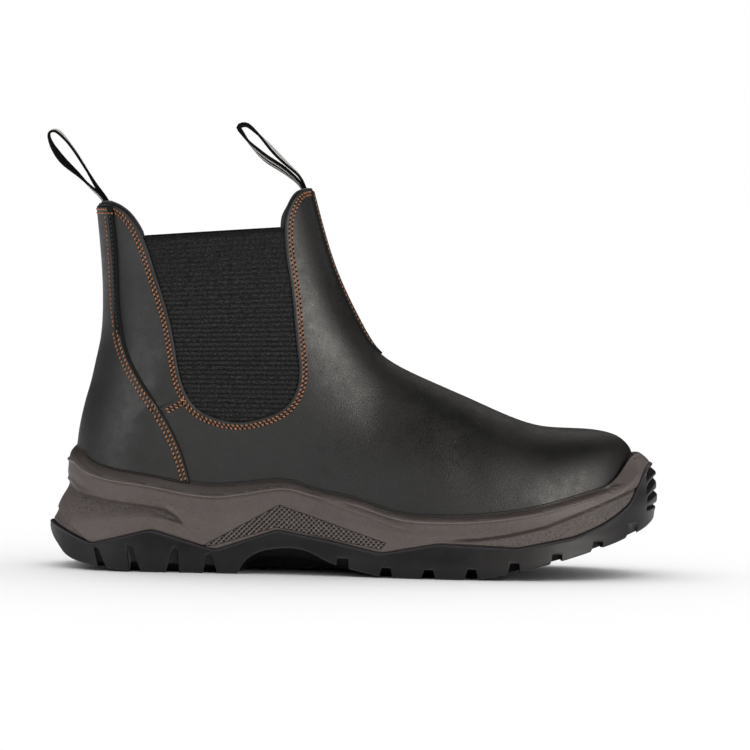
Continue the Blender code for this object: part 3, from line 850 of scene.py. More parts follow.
EDGE_STEPS = np.array([0.0, 0.12, 0.32, 0.6, 0.95, 1.5, 2.1, 2.8])
PANEL_DOWN = 64
PANEL_ACROSS = 61
PANEL_ROUND = 1.0
PANEL_TURNS_AT = 0.42
DARK_EDGE_HIGH = 2.7
DARK_EDGE_LOW = 0.85
UNDER_LAYER = -0.3
SEAM_PROFILE = [
    (0.35, -0.9), (0.3, -0.3), (0.05, 0.02), (-0.35, 0.15), (-1.0, 0.12), (-1.9, 0.04), (-2.6, -0.25),
]
SEAM_SPAN = (0.08, 0.67)
SEAM_THICK = 0.5
STRIP_ROUND = 0.8
STRIP_DARK_EDGE = 0.75
STRIP_STEPS = np.array([0.0, 0.15, 0.4, 0.8, 1.4])
STRIP_ENDS = np.array([1.0, 0.5, 0.2, 0.0])


def rolled_thickness(depth, thick, round_):
    """Thickness of a leather layer at a distance in from its rounded edge."""
    return thick * np.sqrt(1.0 - (1.0 - np.clip(depth / round_, 0.0, 1.0)) ** 2)


def make_heel_panel(leather, cut_edge):
    """Layer over the back: rows run from the collar to the sole, columns from one front edge to the other."""
    line = paced_line(smooth_line(PANEL_EDGE, 300), 2.2)
    length = travelled(line)
    depth = np.concatenate([EDGE_STEPS, np.linspace(4.5, length[-1], PANEL_DOWN)])
    edge_ring, edge_turn = ring_at(*points_at(depth, length, line).T)
    small = 0.01
    apart = upper_skin(edge_ring, edge_turn) - upper_skin(edge_ring, edge_turn - small)
    wide = (np.linalg.norm(apart, axis=-1) / small * edge_turn)[:, None]
    near = 1.0 - EDGE_STEPS / wide
    middle = np.linspace(-1.0, 1.0, PANEL_ACROSS)[1:-1]
    share = np.concatenate([-near, middle / middle[-1] * (near[:, -1:] - 0.02), near[:, ::-1]], axis=1)
    down = (depth / depth[-1])[:, None]
    first = ring_on_line(share[0] * edge_turn[0], lambda x: np.full(np.shape(x), PANEL_TOP))
    last = ring_on_line(share[-1] * edge_turn[-1], lambda x: LIP_Z(x) - 0.3)
    ring = first * (1.0 - down) + last * down
    ring = ring + (edge_ring[:, None] - ring[:, -1:]) * share**2
    turn = share * edge_turn[:, None]
    side_depth = (1.0 - np.abs(share)) * wide
    thick = rolled_thickness(np.minimum(side_depth, depth[:, None]), PANEL_THICK, PANEL_ROUND)
    cell_depth = np.minimum(side_depth[:-1, 1:], side_depth[:-1, :-1])
    high_up = depth[:-1, None] < PANEL_TURNS_AT * length[-1]
    finish = (cell_depth < np.where(high_up, DARK_EDGE_HIGH, DARK_EDGE_LOW)).astype(int)
    front = skin(ring, turn, thick)
    back = skin(ring, turn, UNDER_LAYER)
    make_plate("heel_counter", front, back, [leather, cut_edge], "heel_panel", finish)


def make_quarter_seam(edge_leather):
    """Edge of the vamp piece, lapped over the foot of the back quarter."""
    line = paced_line(cut_line(smooth_line(QUARTER_SEAM, 80), *SEAM_SPAN), 0.9)
    shell = Shell()
    for side in (-1, 1):
        rows = []
        for over, proud in SEAM_PROFILE:
            ring, turn = ring_at(*shifted_in(line, over).T)
            turn = on_side(turn, side)
            rows.append(upper_skin(ring, turn) + skin_normal(ring, turn) * proud)
        front = np.stack(rows, axis=1)
        add_plate(shell, front, front - SEAM_THICK * skin_normal(ring, turn)[:, None, :])
    make_piece("quarter_edge", shell, [edge_leather])


def turn_at_width(ring, width):
    """Turn between the middle of the outer side and the front line, where the skin is half that wide."""
    return halved(np.pi / 2.0, np.pi, np.shape(ring), lambda turn: -upper_skin(ring, turn)[..., 1] <= width)


def front_ring(heights):
    """Ring whose front end is at a height on the shaft."""
    rings = np.linspace(FIRST_SHAFT_RING, TOP_RING, 400)
    return np.interp(heights, RING["front_z"](rings), rings)


def strip_reach(z):
    """Half width of the front strip, which ends in a round foot."""
    below = np.clip((STRIP_FOOT + STRIP_HALF - z) / STRIP_HALF, 0.0, 1.0)
    return STRIP_HALF * np.sqrt(np.clip(1.0 - below**2, 0.0004, 1.0))


def make_front_strip(leather, cut_edge):
    heights = np.concatenate([
        STRIP_FOOT + STRIP_HALF * (1.0 - np.cos(np.linspace(0.05, np.pi / 2.0, 12))),
        np.linspace(STRIP_FOOT + STRIP_HALF + 2.0, STRIP_TOP - 1.6, 40),
        STRIP_TOP - STRIP_ENDS,
    ])[:, None]
    half = strip_reach(heights)
    inset = STRIP_STEPS * np.minimum(1.0, half / 3.0)
    inner = (half - inset[:, -1:]) * np.linspace(1.0, 0.0, 8)[1:]
    width = np.concatenate([half - inset, inner], axis=1)
    turn = turn_at_width(np.broadcast_to(front_ring(heights), width.shape), np.maximum(width, 0.001))
    turn[:, -1] = np.pi
    turn = np.concatenate([turn, FULL_TURN - turn[:, -2::-1]], axis=1)
    depth = np.minimum(half - width, STRIP_TOP - heights)
    depth = np.concatenate([depth, depth[:, -2::-1]], axis=1)
    ring = np.broadcast_to(front_ring(heights), turn.shape)
    thick = rolled_thickness(depth, STRIP_THICK, STRIP_ROUND)
    finish = (np.minimum(depth[:-1, 1:], depth[:-1, :-1]) < STRIP_DARK_EDGE).astype(int)
    front = skin(ring, turn, thick)
    back = skin(ring, turn, UNDER_LAYER)
    make_plate("front_band", front, back, [leather, cut_edge], "front_strip", finish)


# Elastic gussets

RIB_PITCH = 2.3
RIB_POINTS = 6
RIB_HIGH = 0.62
ELASTIC_RECESS = 1.1
ELASTIC_ACROSS = 44
ELASTIC_TUCK = 0.35
ELASTIC_THICK = 1.2
ELASTIC_SAG = 0.4
ELASTIC_TOP = (164.4, 170.4)
HEM_HIGH = 1.6
HEM_PROUD = 0.25


def gusset_sides(side):
    """The cut-out's back and front edges by height, tucked under the leather a little, and its foot."""
    line = shifted_in(smooth_line(GUSSET_EDGE, 300), -ELASTIC_TUCK)
    line = line if side < 0 else on_inner(line)
    low = line[:, 1].argmin()
    left = line[: low + 1][::-1]
    right = line[low:]

    def sides(z_left, z_right):
        return np.interp(z_left, left[:, 1], left[:, 0]), np.interp(z_right, right[:, 1], right[:, 0])

    return sides, line[low, 1]


def make_elastic(name, side, elastic, node):
    """Ribbed elastic in one cut-out. Its rows start level and tilt towards the top; a flat hem ends it."""
    sides, foot = gusset_sides(side)
    top_left, top_right = ELASTIC_TOP
    tall = (top_left + top_right) / 2.0 - foot
    ribs = int(round(tall / RIB_PITCH))
    up = np.linspace(0.006, 1.0, ribs * RIB_POINTS + 1)[:, None]
    tilt = (top_right - top_left) / 2.0 * up**1.5
    middle = foot + tall * up
    left, right = sides(middle - tilt, middle + tilt)
    across = np.linspace(0.0, 1.0, ELASTIC_ACROSS)[None, :]
    ring, turn = ring_at(between(left, right, across), middle - tilt + 2.0 * tilt * across)
    turn = on_side(turn, side)
    wave = np.abs(np.sin(np.pi * up * ribs)) ** 0.7
    clear = 1.0 - 0.7 * ramp(up, 0.55, 0.4)
    hem = (up * tall > tall - HEM_HIGH).astype(float)
    rise = RIB_HIGH * (wave - 0.5) * clear * (1.0 - hem) + HEM_PROUD * hem
    sag = -ELASTIC_SAG * np.sin(np.pi * across) * np.sin(np.pi * up * 0.8) ** 0.5
    # Mask for the colour: painted shade in the grooves between ribs and painted highlight on their crests, an
    # even middle tone where the ribs fade out, and a dark tone on the hem.
    shade = (wave * clear + 0.55 * (1.0 - clear)) * (1.0 - hem) + 0.2 * hem
    front = skin(ring, turn, -ELASTIC_RECESS + rise + sag)
    back = skin(ring, turn, -ELASTIC_RECESS - ELASTIC_THICK)
    make_plate(name, front, back, [elastic], node, 0, np.broadcast_to(shade, turn.shape))


# Stitching

# A stitch's sections are rows of place along it, size and lift; spans are shares of a line's length
STITCH_SECTIONS = [
    (-0.5, 0.30, -0.22), (-0.36, 0.82, 0.04), (0.0, 1.0, 0.12), (0.36, 0.82, 0.04), (0.5, 0.30, -0.22),
]
STITCH_ROUND = 6
HOLE_ROUND = 7
HOLE_INDEX = 2
HOLE_LONG = 0.62
HOLE_WIDE = 0.58
HOLE_TOP = 0.10
HOLE_EDGE = -0.03
STITCH_UNEVEN = 0.05
STITCH_REACH = 0.3
STITCH_SLANT = 0.52
TOP_SLANT = 0.4
BACK_SLANT = 0.1
COLLAR_PROUD = 0.04
SEAM_PROUD = 0.12
SEAM_SEWN = (0.29, 0.72)
PANEL_SEWN = (0.03, 0.985)
CHANCE = np.random.default_rng(43)


def stitch_template():
    """One raised stitch along X: points, sides and caps."""
    turn = np.arange(STITCH_ROUND) * FULL_TURN / STITCH_ROUND
    made = []
    for along, size, lift in STITCH_SECTIONS:
        wide = 0.5 * STITCH_WIDE * size * np.cos(turn)
        high = lift + 0.5 * STITCH_HIGH * size * np.sin(turn)
        made.append(np.stack([np.full(STITCH_ROUND, along * STITCH_LONG), wide, high], axis=1))
    sides = grid_faces(len(STITCH_SECTIONS), STITCH_ROUND, wrap=True).tolist()
    last = (len(STITCH_SECTIONS) - 1) * STITCH_ROUND
    caps = [list(range(STITCH_ROUND))[::-1], [last + i for i in range(STITCH_ROUND)]]
    return np.concatenate(made), sides, caps


def hole_template():
    """One needle hole: a low mound between two stitches, dark with painted shade for the shaded hole."""
    turn = np.arange(HOLE_ROUND) * FULL_TURN / HOLE_ROUND
    made = [(0.0, 0.0, HOLE_TOP)]
    made += [(HOLE_LONG * math.cos(t), HOLE_WIDE * math.sin(t), HOLE_EDGE) for t in turn]
    faces = [[0, 1 + i, 1 + (i + 1) % HOLE_ROUND] for i in range(HOLE_ROUND)]
    return np.array(made), faces + [list(range(HOLE_ROUND, 0, -1))]


STITCH = stitch_template()
HOLE = hole_template()


def sew(shell, ring, turn, proud, finish, slant, start=0.0):
    """Row of stitches along a path on the skin, with a needle hole of painted shade after each that ends on
    the row.
    """
    line = skin(ring, turn, proud)
    length = travelled(line)
    spots = np.arange(start + 0.5, length[-1] / STITCH_PITCH - 0.1) * STITCH_PITCH
    for template, shift, leaning, finish_here in ((STITCH, 0.0, 1.0, finish), (HOLE, 0.5, 0.0, HOLE_INDEX)):
        at = spots + shift * STITCH_PITCH
        lean = leaning * (slant + CHANCE.normal(0.0, STITCH_UNEVEN, len(at)))
        on_row = at - STITCH_REACH < length[-1]
        at = at[on_row]
        lean = lean[on_row, None]
        normal = skin_normal(np.interp(at, length, ring), np.interp(at, length, turn))
        run = points_at(at + STITCH_REACH, length, line) - points_at(at - STITCH_REACH, length, line)
        run = unit(run - normal * np.sum(run * normal, axis=1, keepdims=True))
        beside = np.cross(normal, run)
        forward = run * np.cos(lean) + beside * np.sin(lean)
        sideways = beside * np.cos(lean) - run * np.sin(lean)
        axes = np.stack([forward, sideways, normal], axis=1)
        for each in points_at(at, length, line)[:, None, :] + template[0] @ axes:
            first = shell.count
            shell.add(each)
            for group in template[1:]:
                shell.add_faces([[first + i for i in face] for face in group], finish_here)


def side_path(line, side):
    """Ring and turn along a side-view line, on one side."""
    ring, turn = ring_at(*paced_line(line, 0.8).T)
    return ring, on_side(turn, side)


def cut_line(line, start, end):
    """Part of a line of points between two shares of its length."""
    length = travelled(line)
    return points_at(np.linspace(start, end, 300) * length[-1], length, line)


def make_stitching(thread, dark_thread, hole):
    shell = Shell()
    panel_edge = smooth_line(PANEL_EDGE, 300)
    seam = smooth_line(QUARTER_SEAM, 60)
    for side in (-1, 1):
        slant = STITCH_SLANT * side
        for number, inset in enumerate(COLLAR_ROWS):
            line = shifted_in(collar_line(side), -inset)
            sew(shell, *side_path(line, side), COLLAR_PROUD, 0, slant, 0.4 * number)
        for number, inset in enumerate(PANEL_ROWS):
            line = cut_line(shifted_in(panel_edge, -PANEL_TOP_ROWS[number]), PANEL_SEWN[0], PANEL_TURNS_AT)
            sew(shell, *side_path(line, side), PANEL_THICK, 1 if number == 0 else 0, slant * TOP_SLANT)
            line = cut_line(shifted_in(panel_edge, -inset), PANEL_TURNS_AT, PANEL_SEWN[1])
            sew(shell, *side_path(line, side), PANEL_THICK, 0, slant, 0.5 * number)
        for inset in SEAM_ROWS:
            line = cut_line(shifted_in(seam, -inset), *SEAM_SEWN)
            sew(shell, *side_path(line, side), SEAM_PROUD, 0, slant)
        heights = np.linspace(STRIP_TOP - 1.5, STRIP_FOOT + 5.0, 200)
        rings = front_ring(heights)
        turns = turn_at_width(rings, strip_reach(heights) - STRIP_ROW)
        sew(shell, rings, on_side(turns, side), STRIP_THICK, 0, slant)
    for height, reach in BACK_ROWS:
        turns = np.linspace(-reach, reach, 200)
        rings = ring_on_line(turns, lambda x: np.full(np.shape(x), height))
        sew(shell, rings, turns, PANEL_THICK, 0, BACK_SLANT)
    make_piece("stitching", shell, [thread, dark_thread, hole])


# Pull loops

TAPE_STEPS = 96
TAPE_COLUMNS = 15
ACROSS_BOOT = np.array([[0.0, 1.0, 0.0]])
PLAIN_FACE = 2.0
BACK_TWIST = [
    (0.0, 0.0), (0.16, 7.0), (0.25, 0.0), (0.38, -9.0), (0.51, 4.0),
    (0.59, 0.0), (0.70, -1.5), (0.86, -9.0), (1.0, 0.0),
]
FRONT_TWIST = [(0.0, 0.0), (0.16, 0.0), (0.34, -6.0), (0.49, 6.0), (0.68, -12.5), (0.85, -7.0), (1.0, 0.0)]


def make_pull_loop(name, path, twist, outside, webbing, node):
    """Webbing that follows its side-view path. Twist gives shares of the way round and angles in degrees.

    Outside is 1 where the loop's outer face is to the left of its path and -1 where it is to the right."""
    line = smooth_line(path, TAPE_STEPS)
    share = travelled(line) / travelled(line)[-1]
    angle = np.radians(spline(*zip(*twist))(share))[:, None]
    run = unit(np.gradient(line, axis=0))
    normal = np.stack([-run[:, 1], np.zeros(TAPE_STEPS), run[:, 0]], axis=1)
    centre = np.stack([line[:, 0], np.zeros(TAPE_STEPS), line[:, 1]], axis=1)
    wide = ACROSS_BOOT * np.cos(angle) + normal * np.sin(angle)
    deep = normal * np.cos(angle) - ACROSS_BOOT * np.sin(angle)
    across = np.linspace(-1.0, 1.0, TAPE_COLUMNS)
    round_edge = np.sqrt(1.0 - 0.75 * np.abs(across) ** 8)
    offset = across[None, :, None] * TAPE_WIDE / 2.0
    thick = (round_edge * TAPE_THICK / 2.0)[None, :, None]
    flat = centre[:, None, :] + wide[:, None, :] * offset
    half = deep[:, None, :] * thick
    patterned = np.broadcast_to(np.abs(across), (TAPE_STEPS, TAPE_COLUMNS))
    plain = np.full((TAPE_STEPS, TAPE_COLUMNS), PLAIN_FACE)
    masks = (patterned, plain) if outside > 0 else (plain, patterned)
    make_plate(name, flat + half, flat - half, [webbing], node, 0, np.stack(masks))


# Sole

GROUND_HEEL = SOLE_WALL[0].heel_x
GROUND_TOE = SOLE_WALL[0].toe_x
SOLE_TALL = 70.0
NOWHERE = -50.0

# The hidden face between midsole and outsole lies this far under the foot, inside ledges this wide
CORE_DROP = 3.4
MIDSOLE_LEDGE = 4.0
OUTSOLE_LEDGE = 3.4

# Steps and counts of the sole's meshes
MIDSOLE_STEP = 0.8
BAND_ROWS = 15
WALL_ROWS = 62
OUTSOLE_STEP = 1.0
OUTSOLE_ROWS = 44
TREAD_ACROSS = 72
WEDGE_COLUMNS = 300
WEDGE_ROWS = 36

# The midsole's moulded lines: how far they stand out or lie deeper, and where two of them end
BAND_DEEP = 1.2
CREST_HIGH = 0.9
RIDGE_HIGH = 0.45
RIDGE_DEEP = 1.1
HEEL_DEEP = 2.3
STEP_HIGH = 0.8
FACET_DEEP = 0.8
FORE_DEEP = 1.3
FORE_SET_IN = 0.4
HOLLOW_END = -79.5
FACET_END = -119.0

# The wedge at the waist, and the lattice of diamonds pressed into it with its painted shades: shade on one
# side of each pit, plain on the other side, and a highlight on the ridges
WEDGE_DEEP = 1.5
WEDGE_SPAN = (-69.5, 14.4)
WEDGE_END = 15.0
WEDGE_LOW = 13.0
WEDGE_LEAN = 0.9
WEDGE_BORDER = 0.45
DIAMOND = 2.45
DIAMOND_DEEP = 1.4
DIAMOND_WALL = 0.24
LATTICE_SHADES = (-2.4, 0.0, 2.0)

# The outsole's rim, toe grooves and tread; places across the tread are shares of its half width
RIM_PROUD = 0.45
TOE_GROOVE_DEEP = 1.7
TOE_GROOVE_WIDE = 0.8
NOTCH_INNER = 0.78
WAIST_BELLY = 2.2
TREAD_RING = 0.62
TREAD_RING_WIDE = 0.035
TREAD_RING_DEEP = 2.6
TREAD_BEND = 15.0
CROSS_HALF = 2.9
CROSS_DEEP = 3.0


def sole_at(turn, z):
    """Point on the sole's outside wall at a height, for a turn round it from the back."""
    turn, z = np.broadcast_arrays(np.asarray(turn, float), np.asarray(z, float))
    along = way_along(turn)
    last_x = between(HEEL_X, TOE_X, along)
    x = last_x
    for _ in range(8):
        share = np.clip(z / LIP_Z(x), 0.0, 1.0)
        x = between(SOLE["heel_x"](share), SOLE["toe_x"](share), along)
    end = closing((HEEL_X + HEEL_ROUND - last_x) / HEEL_ROUND, 2.0)
    end = end * closing((last_x - TOE_X + TOE_ROUND) / TOE_ROUND, ROUND_POWER)
    half = (plan_half(last_x) + SOLE_MARGIN - SOLE["inset"](share)) * end
    y = plan_middle(last_x) - np.sign(np.sin(turn)) * half
    return np.stack([x, y, z], axis=-1)


def sole_out(turn, z):
    """Direction straight out of the sole's wall, level with the ground."""
    small = 0.004
    run = sole_at(turn + small, z) - sole_at(turn - small, z)
    return unit(np.stack([run[..., 1], -run[..., 0], np.zeros(run.shape[:-1])], axis=-1))


def sole_turn(x, z):
    """Turn on the outer side at which the sole's wall reaches a place along the boot."""
    return halved(0.0, np.pi, np.shape(x), lambda turn: sole_at(turn, z)[..., 0] > x)


def ground_x(turn):
    """Place along the boot of the outsole's lower edge, for each turn."""
    return between(GROUND_HEEL, GROUND_TOE, way_along(turn))


def divide_z(x):
    """Height of the edge between outsole and midsole, with its corners a little rounded."""
    return np.mean([line_z(x + s, DIVIDE) for s in np.linspace(-2.2, 2.2, 7)], axis=0)


def divide_at(turn):
    """Height at which the sole's wall meets that edge, for each turn."""
    return halved(0.0, SOLE_TALL, np.shape(turn), lambda z: z > divide_z(sole_at(turn, z)[..., 0]))


def lip_at(turn):
    """Height of the midsole's lip for each turn."""
    return LIP_Z(between(SOLE_WALL[-1].heel_x, SOLE_WALL[-1].toe_x, way_along(turn)))


def even_turns(step):
    """Turns from back to front on one side, about a step apart along the sole's outline."""
    dense = np.linspace(0.0, np.pi, 4000)
    length = travelled(sole_at(dense, 20.0))
    count = int(round(length[-1] / step))
    return np.interp((np.arange(count) + 0.5) * length[-1] / count, length, dense)


def both_sides(turns):
    return np.concatenate([turns, FULL_TURN - turns[::-1]])


def span(x, start, end, soft):
    """1 between two places along the boot, fading to 0 over a soft length outside them."""
    return ramp(x, start - soft, soft) * ramp(-x, -end - soft, soft)


def wedge_depth(x, z):
    """How far inside the textured wedge at the waist a place lies."""
    inside = np.minimum(-above(x, z, WEDGE_TOP), above(x, z, WEDGE_FOOT))
    return np.minimum(inside, WEDGE_END - x + (z - WEDGE_LOW) * WEDGE_LEAN)


def foam_relief(x, z):
    """How far the midsole's moulded lines stand out of its wall, and its skin: 2 painted highlight, 1 coarse,
    -1 painted shade.
    """
    below = (LIP_Z(x) - z) / np.hypot(1.0, LIP_Z(x + 0.5) - LIP_Z(x - 0.5))
    past_band = below - line_z(x, LIP_BAND)
    in_band = eased(0.3 - past_band / 0.6)
    nose = 1.0 - ramp(x, 130.0, 8.0)
    crest = CREST_HIGH * hump(past_band, 0.7, 0.8) * (1.0 - 0.6 * ramp(x, -20.0, 30.0))
    deep = BAND_DEEP * (0.2 + 0.8 * ramp(x, -140.0, 12.0))
    out = (crest * (1.0 - in_band) - deep * in_band) * nose
    # Painted shade in the recessed band under the lip, weaker at the toe.
    painted_shade = ramp(below, 0.4, 0.6) * ramp(-past_band, 0.1, 0.4) * (0.35 + 0.65 * nose)
    # Painted highlight along the crest under the band.
    pale = hump(past_band, 0.45, 0.5) * nose * ramp(x, -141.0, 14.0)
    over = above(x, z, RIDGE)
    forward = span(x, -16.0, 18.0, 16.0) * (1.0 - in_band)
    out = out + forward * (RIDGE_HIGH * hump(over, 0.0, 0.9) - RIDGE_DEEP * hump(over, 1.9, 1.2))
    under_step = -above(x, z, HEEL_STEP)
    soft = 1.2 + 5.0 * ramp(-x, 88.0, 14.0)
    hollow = eased(under_step / 1.5) * eased(above(x, z, HEEL_HOLLOW) / soft + 0.15) * (x < HOLLOW_END)
    out = out - HEEL_DEEP * hollow * span(x, -130.0, -84.0, 9.0)
    out = out + STEP_HIGH * hump(under_step, -0.8, 0.9) * span(x, -150.0, -90.0, 8.0)
    facet = eased(-above(x, z, HEEL_FACET) / 0.6) * (x < FACET_END)
    out = out - FACET_DEEP * facet - WEDGE_DEEP * eased(wedge_depth(x, z) / 0.6)
    fore = above(x, z, FORE_LINE)
    ahead = ramp(x, 44.0, 18.0)
    out = out - ahead * (FORE_DEEP * hump(fore, 0.0, 0.55) + FORE_SET_IN * eased(-fore))
    # Painted shade along the grooves: the line at the forefoot, under the heel step and above the ridge.
    lines = 1.3 * ahead * hump(fore, 0.0, 0.45)
    lines = lines + 0.6 * hump(under_step, 0.7, 0.6) * span(x, -128.0, -84.0, 8.0)
    lines = lines + 0.6 * forward * hump(over, 1.9, 0.7)
    coarse = np.clip(hollow + facet + ahead * eased(-fore / 1.5), 0.0, 1.0)
    wall = coarse - (1.0 + coarse) * np.minimum(lines, 1.0)
    return out, np.where(past_band < -0.5, -1.2 * painted_shade, wall) + 2.0 * pale


def make_wedge(foam):
    """Patch on both sides of the waist with a lattice of small pyramids pressed into it, its mask painting
    shade on one side of each pit and a highlight on the ridges.
    """
    start = np.broadcast_to(np.linspace(*WEDGE_SPAN, WEDGE_COLUMNS), (WEDGE_ROWS, WEDGE_COLUMNS))
    up = np.linspace(0.0, 1.0, WEDGE_ROWS)[:, None]
    x = start
    for _ in range(4):
        z = between(line_z(x, WEDGE_FOOT) + WEDGE_BORDER, line_z(x, WEDGE_TOP) - WEDGE_BORDER, up)
        x = start + WEDGE_LEAN * (z - WEDGE_LOW) * ramp(start, -12.0, 26.0)
    rising = ((x + z) / DIAMOND) % 1.0
    falling = ((x - z) / DIAMOND) % 1.0
    pit = 1.0 - np.maximum(np.abs(2.0 * rising - 1.0), np.abs(2.0 * falling - 1.0))
    pit = np.maximum(pit - DIAMOND_WALL, 0.0) / (1.0 - DIAMOND_WALL)
    dark, plain, pale = LATTICE_SHADES
    # Painted shade on one side of each pit, plain on the other, painted highlight on the ridges.
    shade = np.where(pit > 0.0, np.where(rising > falling, dark, plain), pale)
    shell = Shell()
    for side in (-1, 1):
        turn = on_side(sole_turn(x, z), side)
        wall = sole_at(turn, z)
        out = sole_out(turn, z)
        front = wall - out * (0.15 + DIAMOND_DEEP * pit)[..., None]
        add_plate(shell, front, wall - out * (WEDGE_DEEP + 0.6), 0, shade)
    make_piece("foam_wedge", shell, [foam])


def core_z(turn):
    """Height of the hidden face between outsole and midsole, under the foot."""
    return FOOT["floor_z"](between(HEEL_X, TOE_X, way_along(turn))) - CORE_DROP


def make_midsole(foam):
    turns = both_sides(even_turns(MIDSOLE_STEP))
    count = len(turns)
    foot = divide_at(turns) + 0.05
    lip = lip_at(turns)
    against = skin(ring_on_line(turns, lambda x: LIP_Z(x) - 0.7), turns, GAP)
    top = sole_at(turns, lip)
    rows = [skin(np.zeros(count), turns, GAP), against]
    for share, rise in ((0.3, -0.15), (0.65, 0.05), (0.9, -0.02)):
        row = between(against, top, share)
        row[:, 2] = between(against[:, 2], lip, eased(share * 1.6)) + rise
        rows.append(row)
    skins = [np.zeros(count)] * len(rows)
    band_foot = lip - np.minimum(6.8, 0.45 * (lip - foot))
    levels = [between(lip, band_foot, k / BAND_ROWS) for k in range(BAND_ROWS)]
    levels[0] = levels[0] - 0.3
    levels += [between(band_foot, foot, k / WALL_ROWS) for k in range(WALL_ROWS + 1)]
    for z in levels:
        base = sole_at(turns, z)
        out, shade = foam_relief(base[:, 0], z)
        seam = ramp(-z, -foot - 0.8, 0.8)
        out = out - 0.35 * ramp(z, lip - 0.8, 0.8) - 0.6 * seam
        rows.append(base + sole_out(turns, z) * out[:, None])
        # Painted shade on the lowest rows, a dark line where the midsole meets the outsole.
        skins.append(shade * (1.0 - seam) - 1.3 * ramp(-z, -foot - 0.5, 0.4))
    ledge = sole_at(turns, foot) - sole_out(turns, foot) * MIDSOLE_LEDGE
    deep = ledge.copy()
    deep[:, 2] = np.minimum(core_z(turns) + GAP, foot)
    rows += [ledge, deep]
    skins += [np.zeros(count)] * 2
    shell = Shell()
    shell.add(np.stack(rows), grid_faces(len(rows), count, wrap=True), 0, np.stack(skins))
    for first in (0, (len(rows) - 1) * count):
        shell.add_faces(cap_faces(first, count))
    make_piece("foam_midsole", shell, [foam], "midsole", 50.0)


def height_along(rows):
    """Height of a smooth side-view line by place along the boot, far below the ground beyond its ends."""
    line = smooth_line(rows, 20 * len(rows))
    return lambda x: np.interp(x, line[:, 0], line[:, 1], left=NOWHERE, right=NOWHERE)


HEEL_UNDER = height_along(HEEL_BEVEL)
ARCH_UNDER = height_along(ARCH)
TOE_UNDER = height_along(TOE_SPRING)


def ground_z(x, arch_x):
    """Height of the outsole's underside without its notches, with the place in the arch given apart."""
    return np.maximum(np.maximum(HEEL_UNDER(x), ARCH_UNDER(arch_x)), np.maximum(TOE_UNDER(x), 0.0))


def notch_z(x, deep=False):
    """Height of the notches' roofs along the boot, at the wall or deep inside; far below between notches."""
    best = np.full(np.shape(x), NOWHERE)
    for notch in NOTCHES:
        foot = notch.foot_wide / 2.0
        top = notch.top_wide / 2.0
        off = np.abs(x - notch.x)
        corner = np.clip(off - top + notch.round, 0.0, notch.round)
        arc = notch.top_z - notch.round + np.sqrt(notch.round**2 - corner**2)
        slope = (notch.top_z - notch.round) * (foot - off) / (foot - top)
        roof = np.where(off <= top, arc, slope)
        roof = np.minimum(roof, notch.roof) if deep else roof
        best = np.maximum(best, np.where(off < foot, roof, NOWHERE))
    return best


def notch_lean(x, z, top):
    """How far the lugs beside a leaning notch are carried along the boot, by height."""
    shift = np.zeros(np.shape(x))
    for notch in NOTCHES:
        near = eased(1.0 - np.abs(x - notch.x) / 8.0)
        up = np.clip(z / notch.top_z, 0.0, 1.0)
        up = up * (1.0 - ramp(z, notch.top_z, np.maximum(top - notch.top_z, 0.5)))
        shift = shift + (notch.top_x - notch.x) * near * up
    return shift


def outsole_turns():
    """Columns round the outsole on one side, with extra ones at the notches' edges."""
    x = ground_x(even_turns(OUTSOLE_STEP))
    special = []
    for notch in NOTCHES:
        top = notch.top_wide / 2.0
        edge = between(top, notch.foot_wide / 2.0, 1.0 - min(ground_z(notch.x, notch.x) / notch.top_z, 0.9))
        corner = notch.round
        for half in (edge + 0.8, edge + 0.35, edge, top, top - 0.3 * corner, top - 0.7 * corner, 0.0):
            special += [notch.x - half, notch.x + half]
    special = np.unique(np.round(special, 3))
    clear = np.min(np.abs(x[:, None] - special[None, :]), axis=1) > 0.45
    at = np.sort(np.concatenate([x[clear], special]))
    return turn_for((at - GROUND_HEEL) / (GROUND_TOE - GROUND_HEEL))


def tread_z(row_x, x, across):
    """Height of the tread under the sole, with across from -1 at the outer edge to 1 at the inner edge.

    Its cross grooves and the waist follow the rows of the mesh, which meet the edge at row_x."""
    base = ground_z(x, row_x)
    off = np.abs(across)
    waist = ramp(ARCH_UNDER(row_x), 1.0, 3.0)
    slab = np.minimum(base, line_z(row_x, WAIST_SLAB))
    wider = np.where(across > 0.0, 0.18, 0.0)
    slab = slab - np.maximum(slab - WAIST_BELLY, 0.0) * eased((0.56 + wider - off) / 0.12)
    z = base + (slab - base) * waist * eased((0.70 + wider - off) / 0.06)
    lugs = 1.0 - waist
    edge_lugs = ramp(off, NOTCH_INNER, 0.02)
    roof = between(notch_z(row_x, True), notch_z(row_x), ramp(off, 0.95, 0.02))
    z = np.maximum(z, np.where(edge_lugs > 0.0, between(base, roof, edge_lugs), NOWHERE))
    ring_groove = np.exp(-(((off - TREAD_RING) / TREAD_RING_WIDE) ** 4))
    ring_groove = ring_groove * eased((1.0 - np.abs((x - 2.0) / 138.0)) / 0.04)
    depth = TREAD_RING_DEEP * ring_groove * lugs
    for notch in NOTCHES:
        near = eased((CROSS_HALF - np.abs(row_x - notch.x)) / 1.3) * eased((TREAD_RING - off) / 0.05)
        depth = np.maximum(depth, CROSS_DEEP * near * lugs)
    return np.where(depth > 0.01, np.maximum(z, base + depth), z)


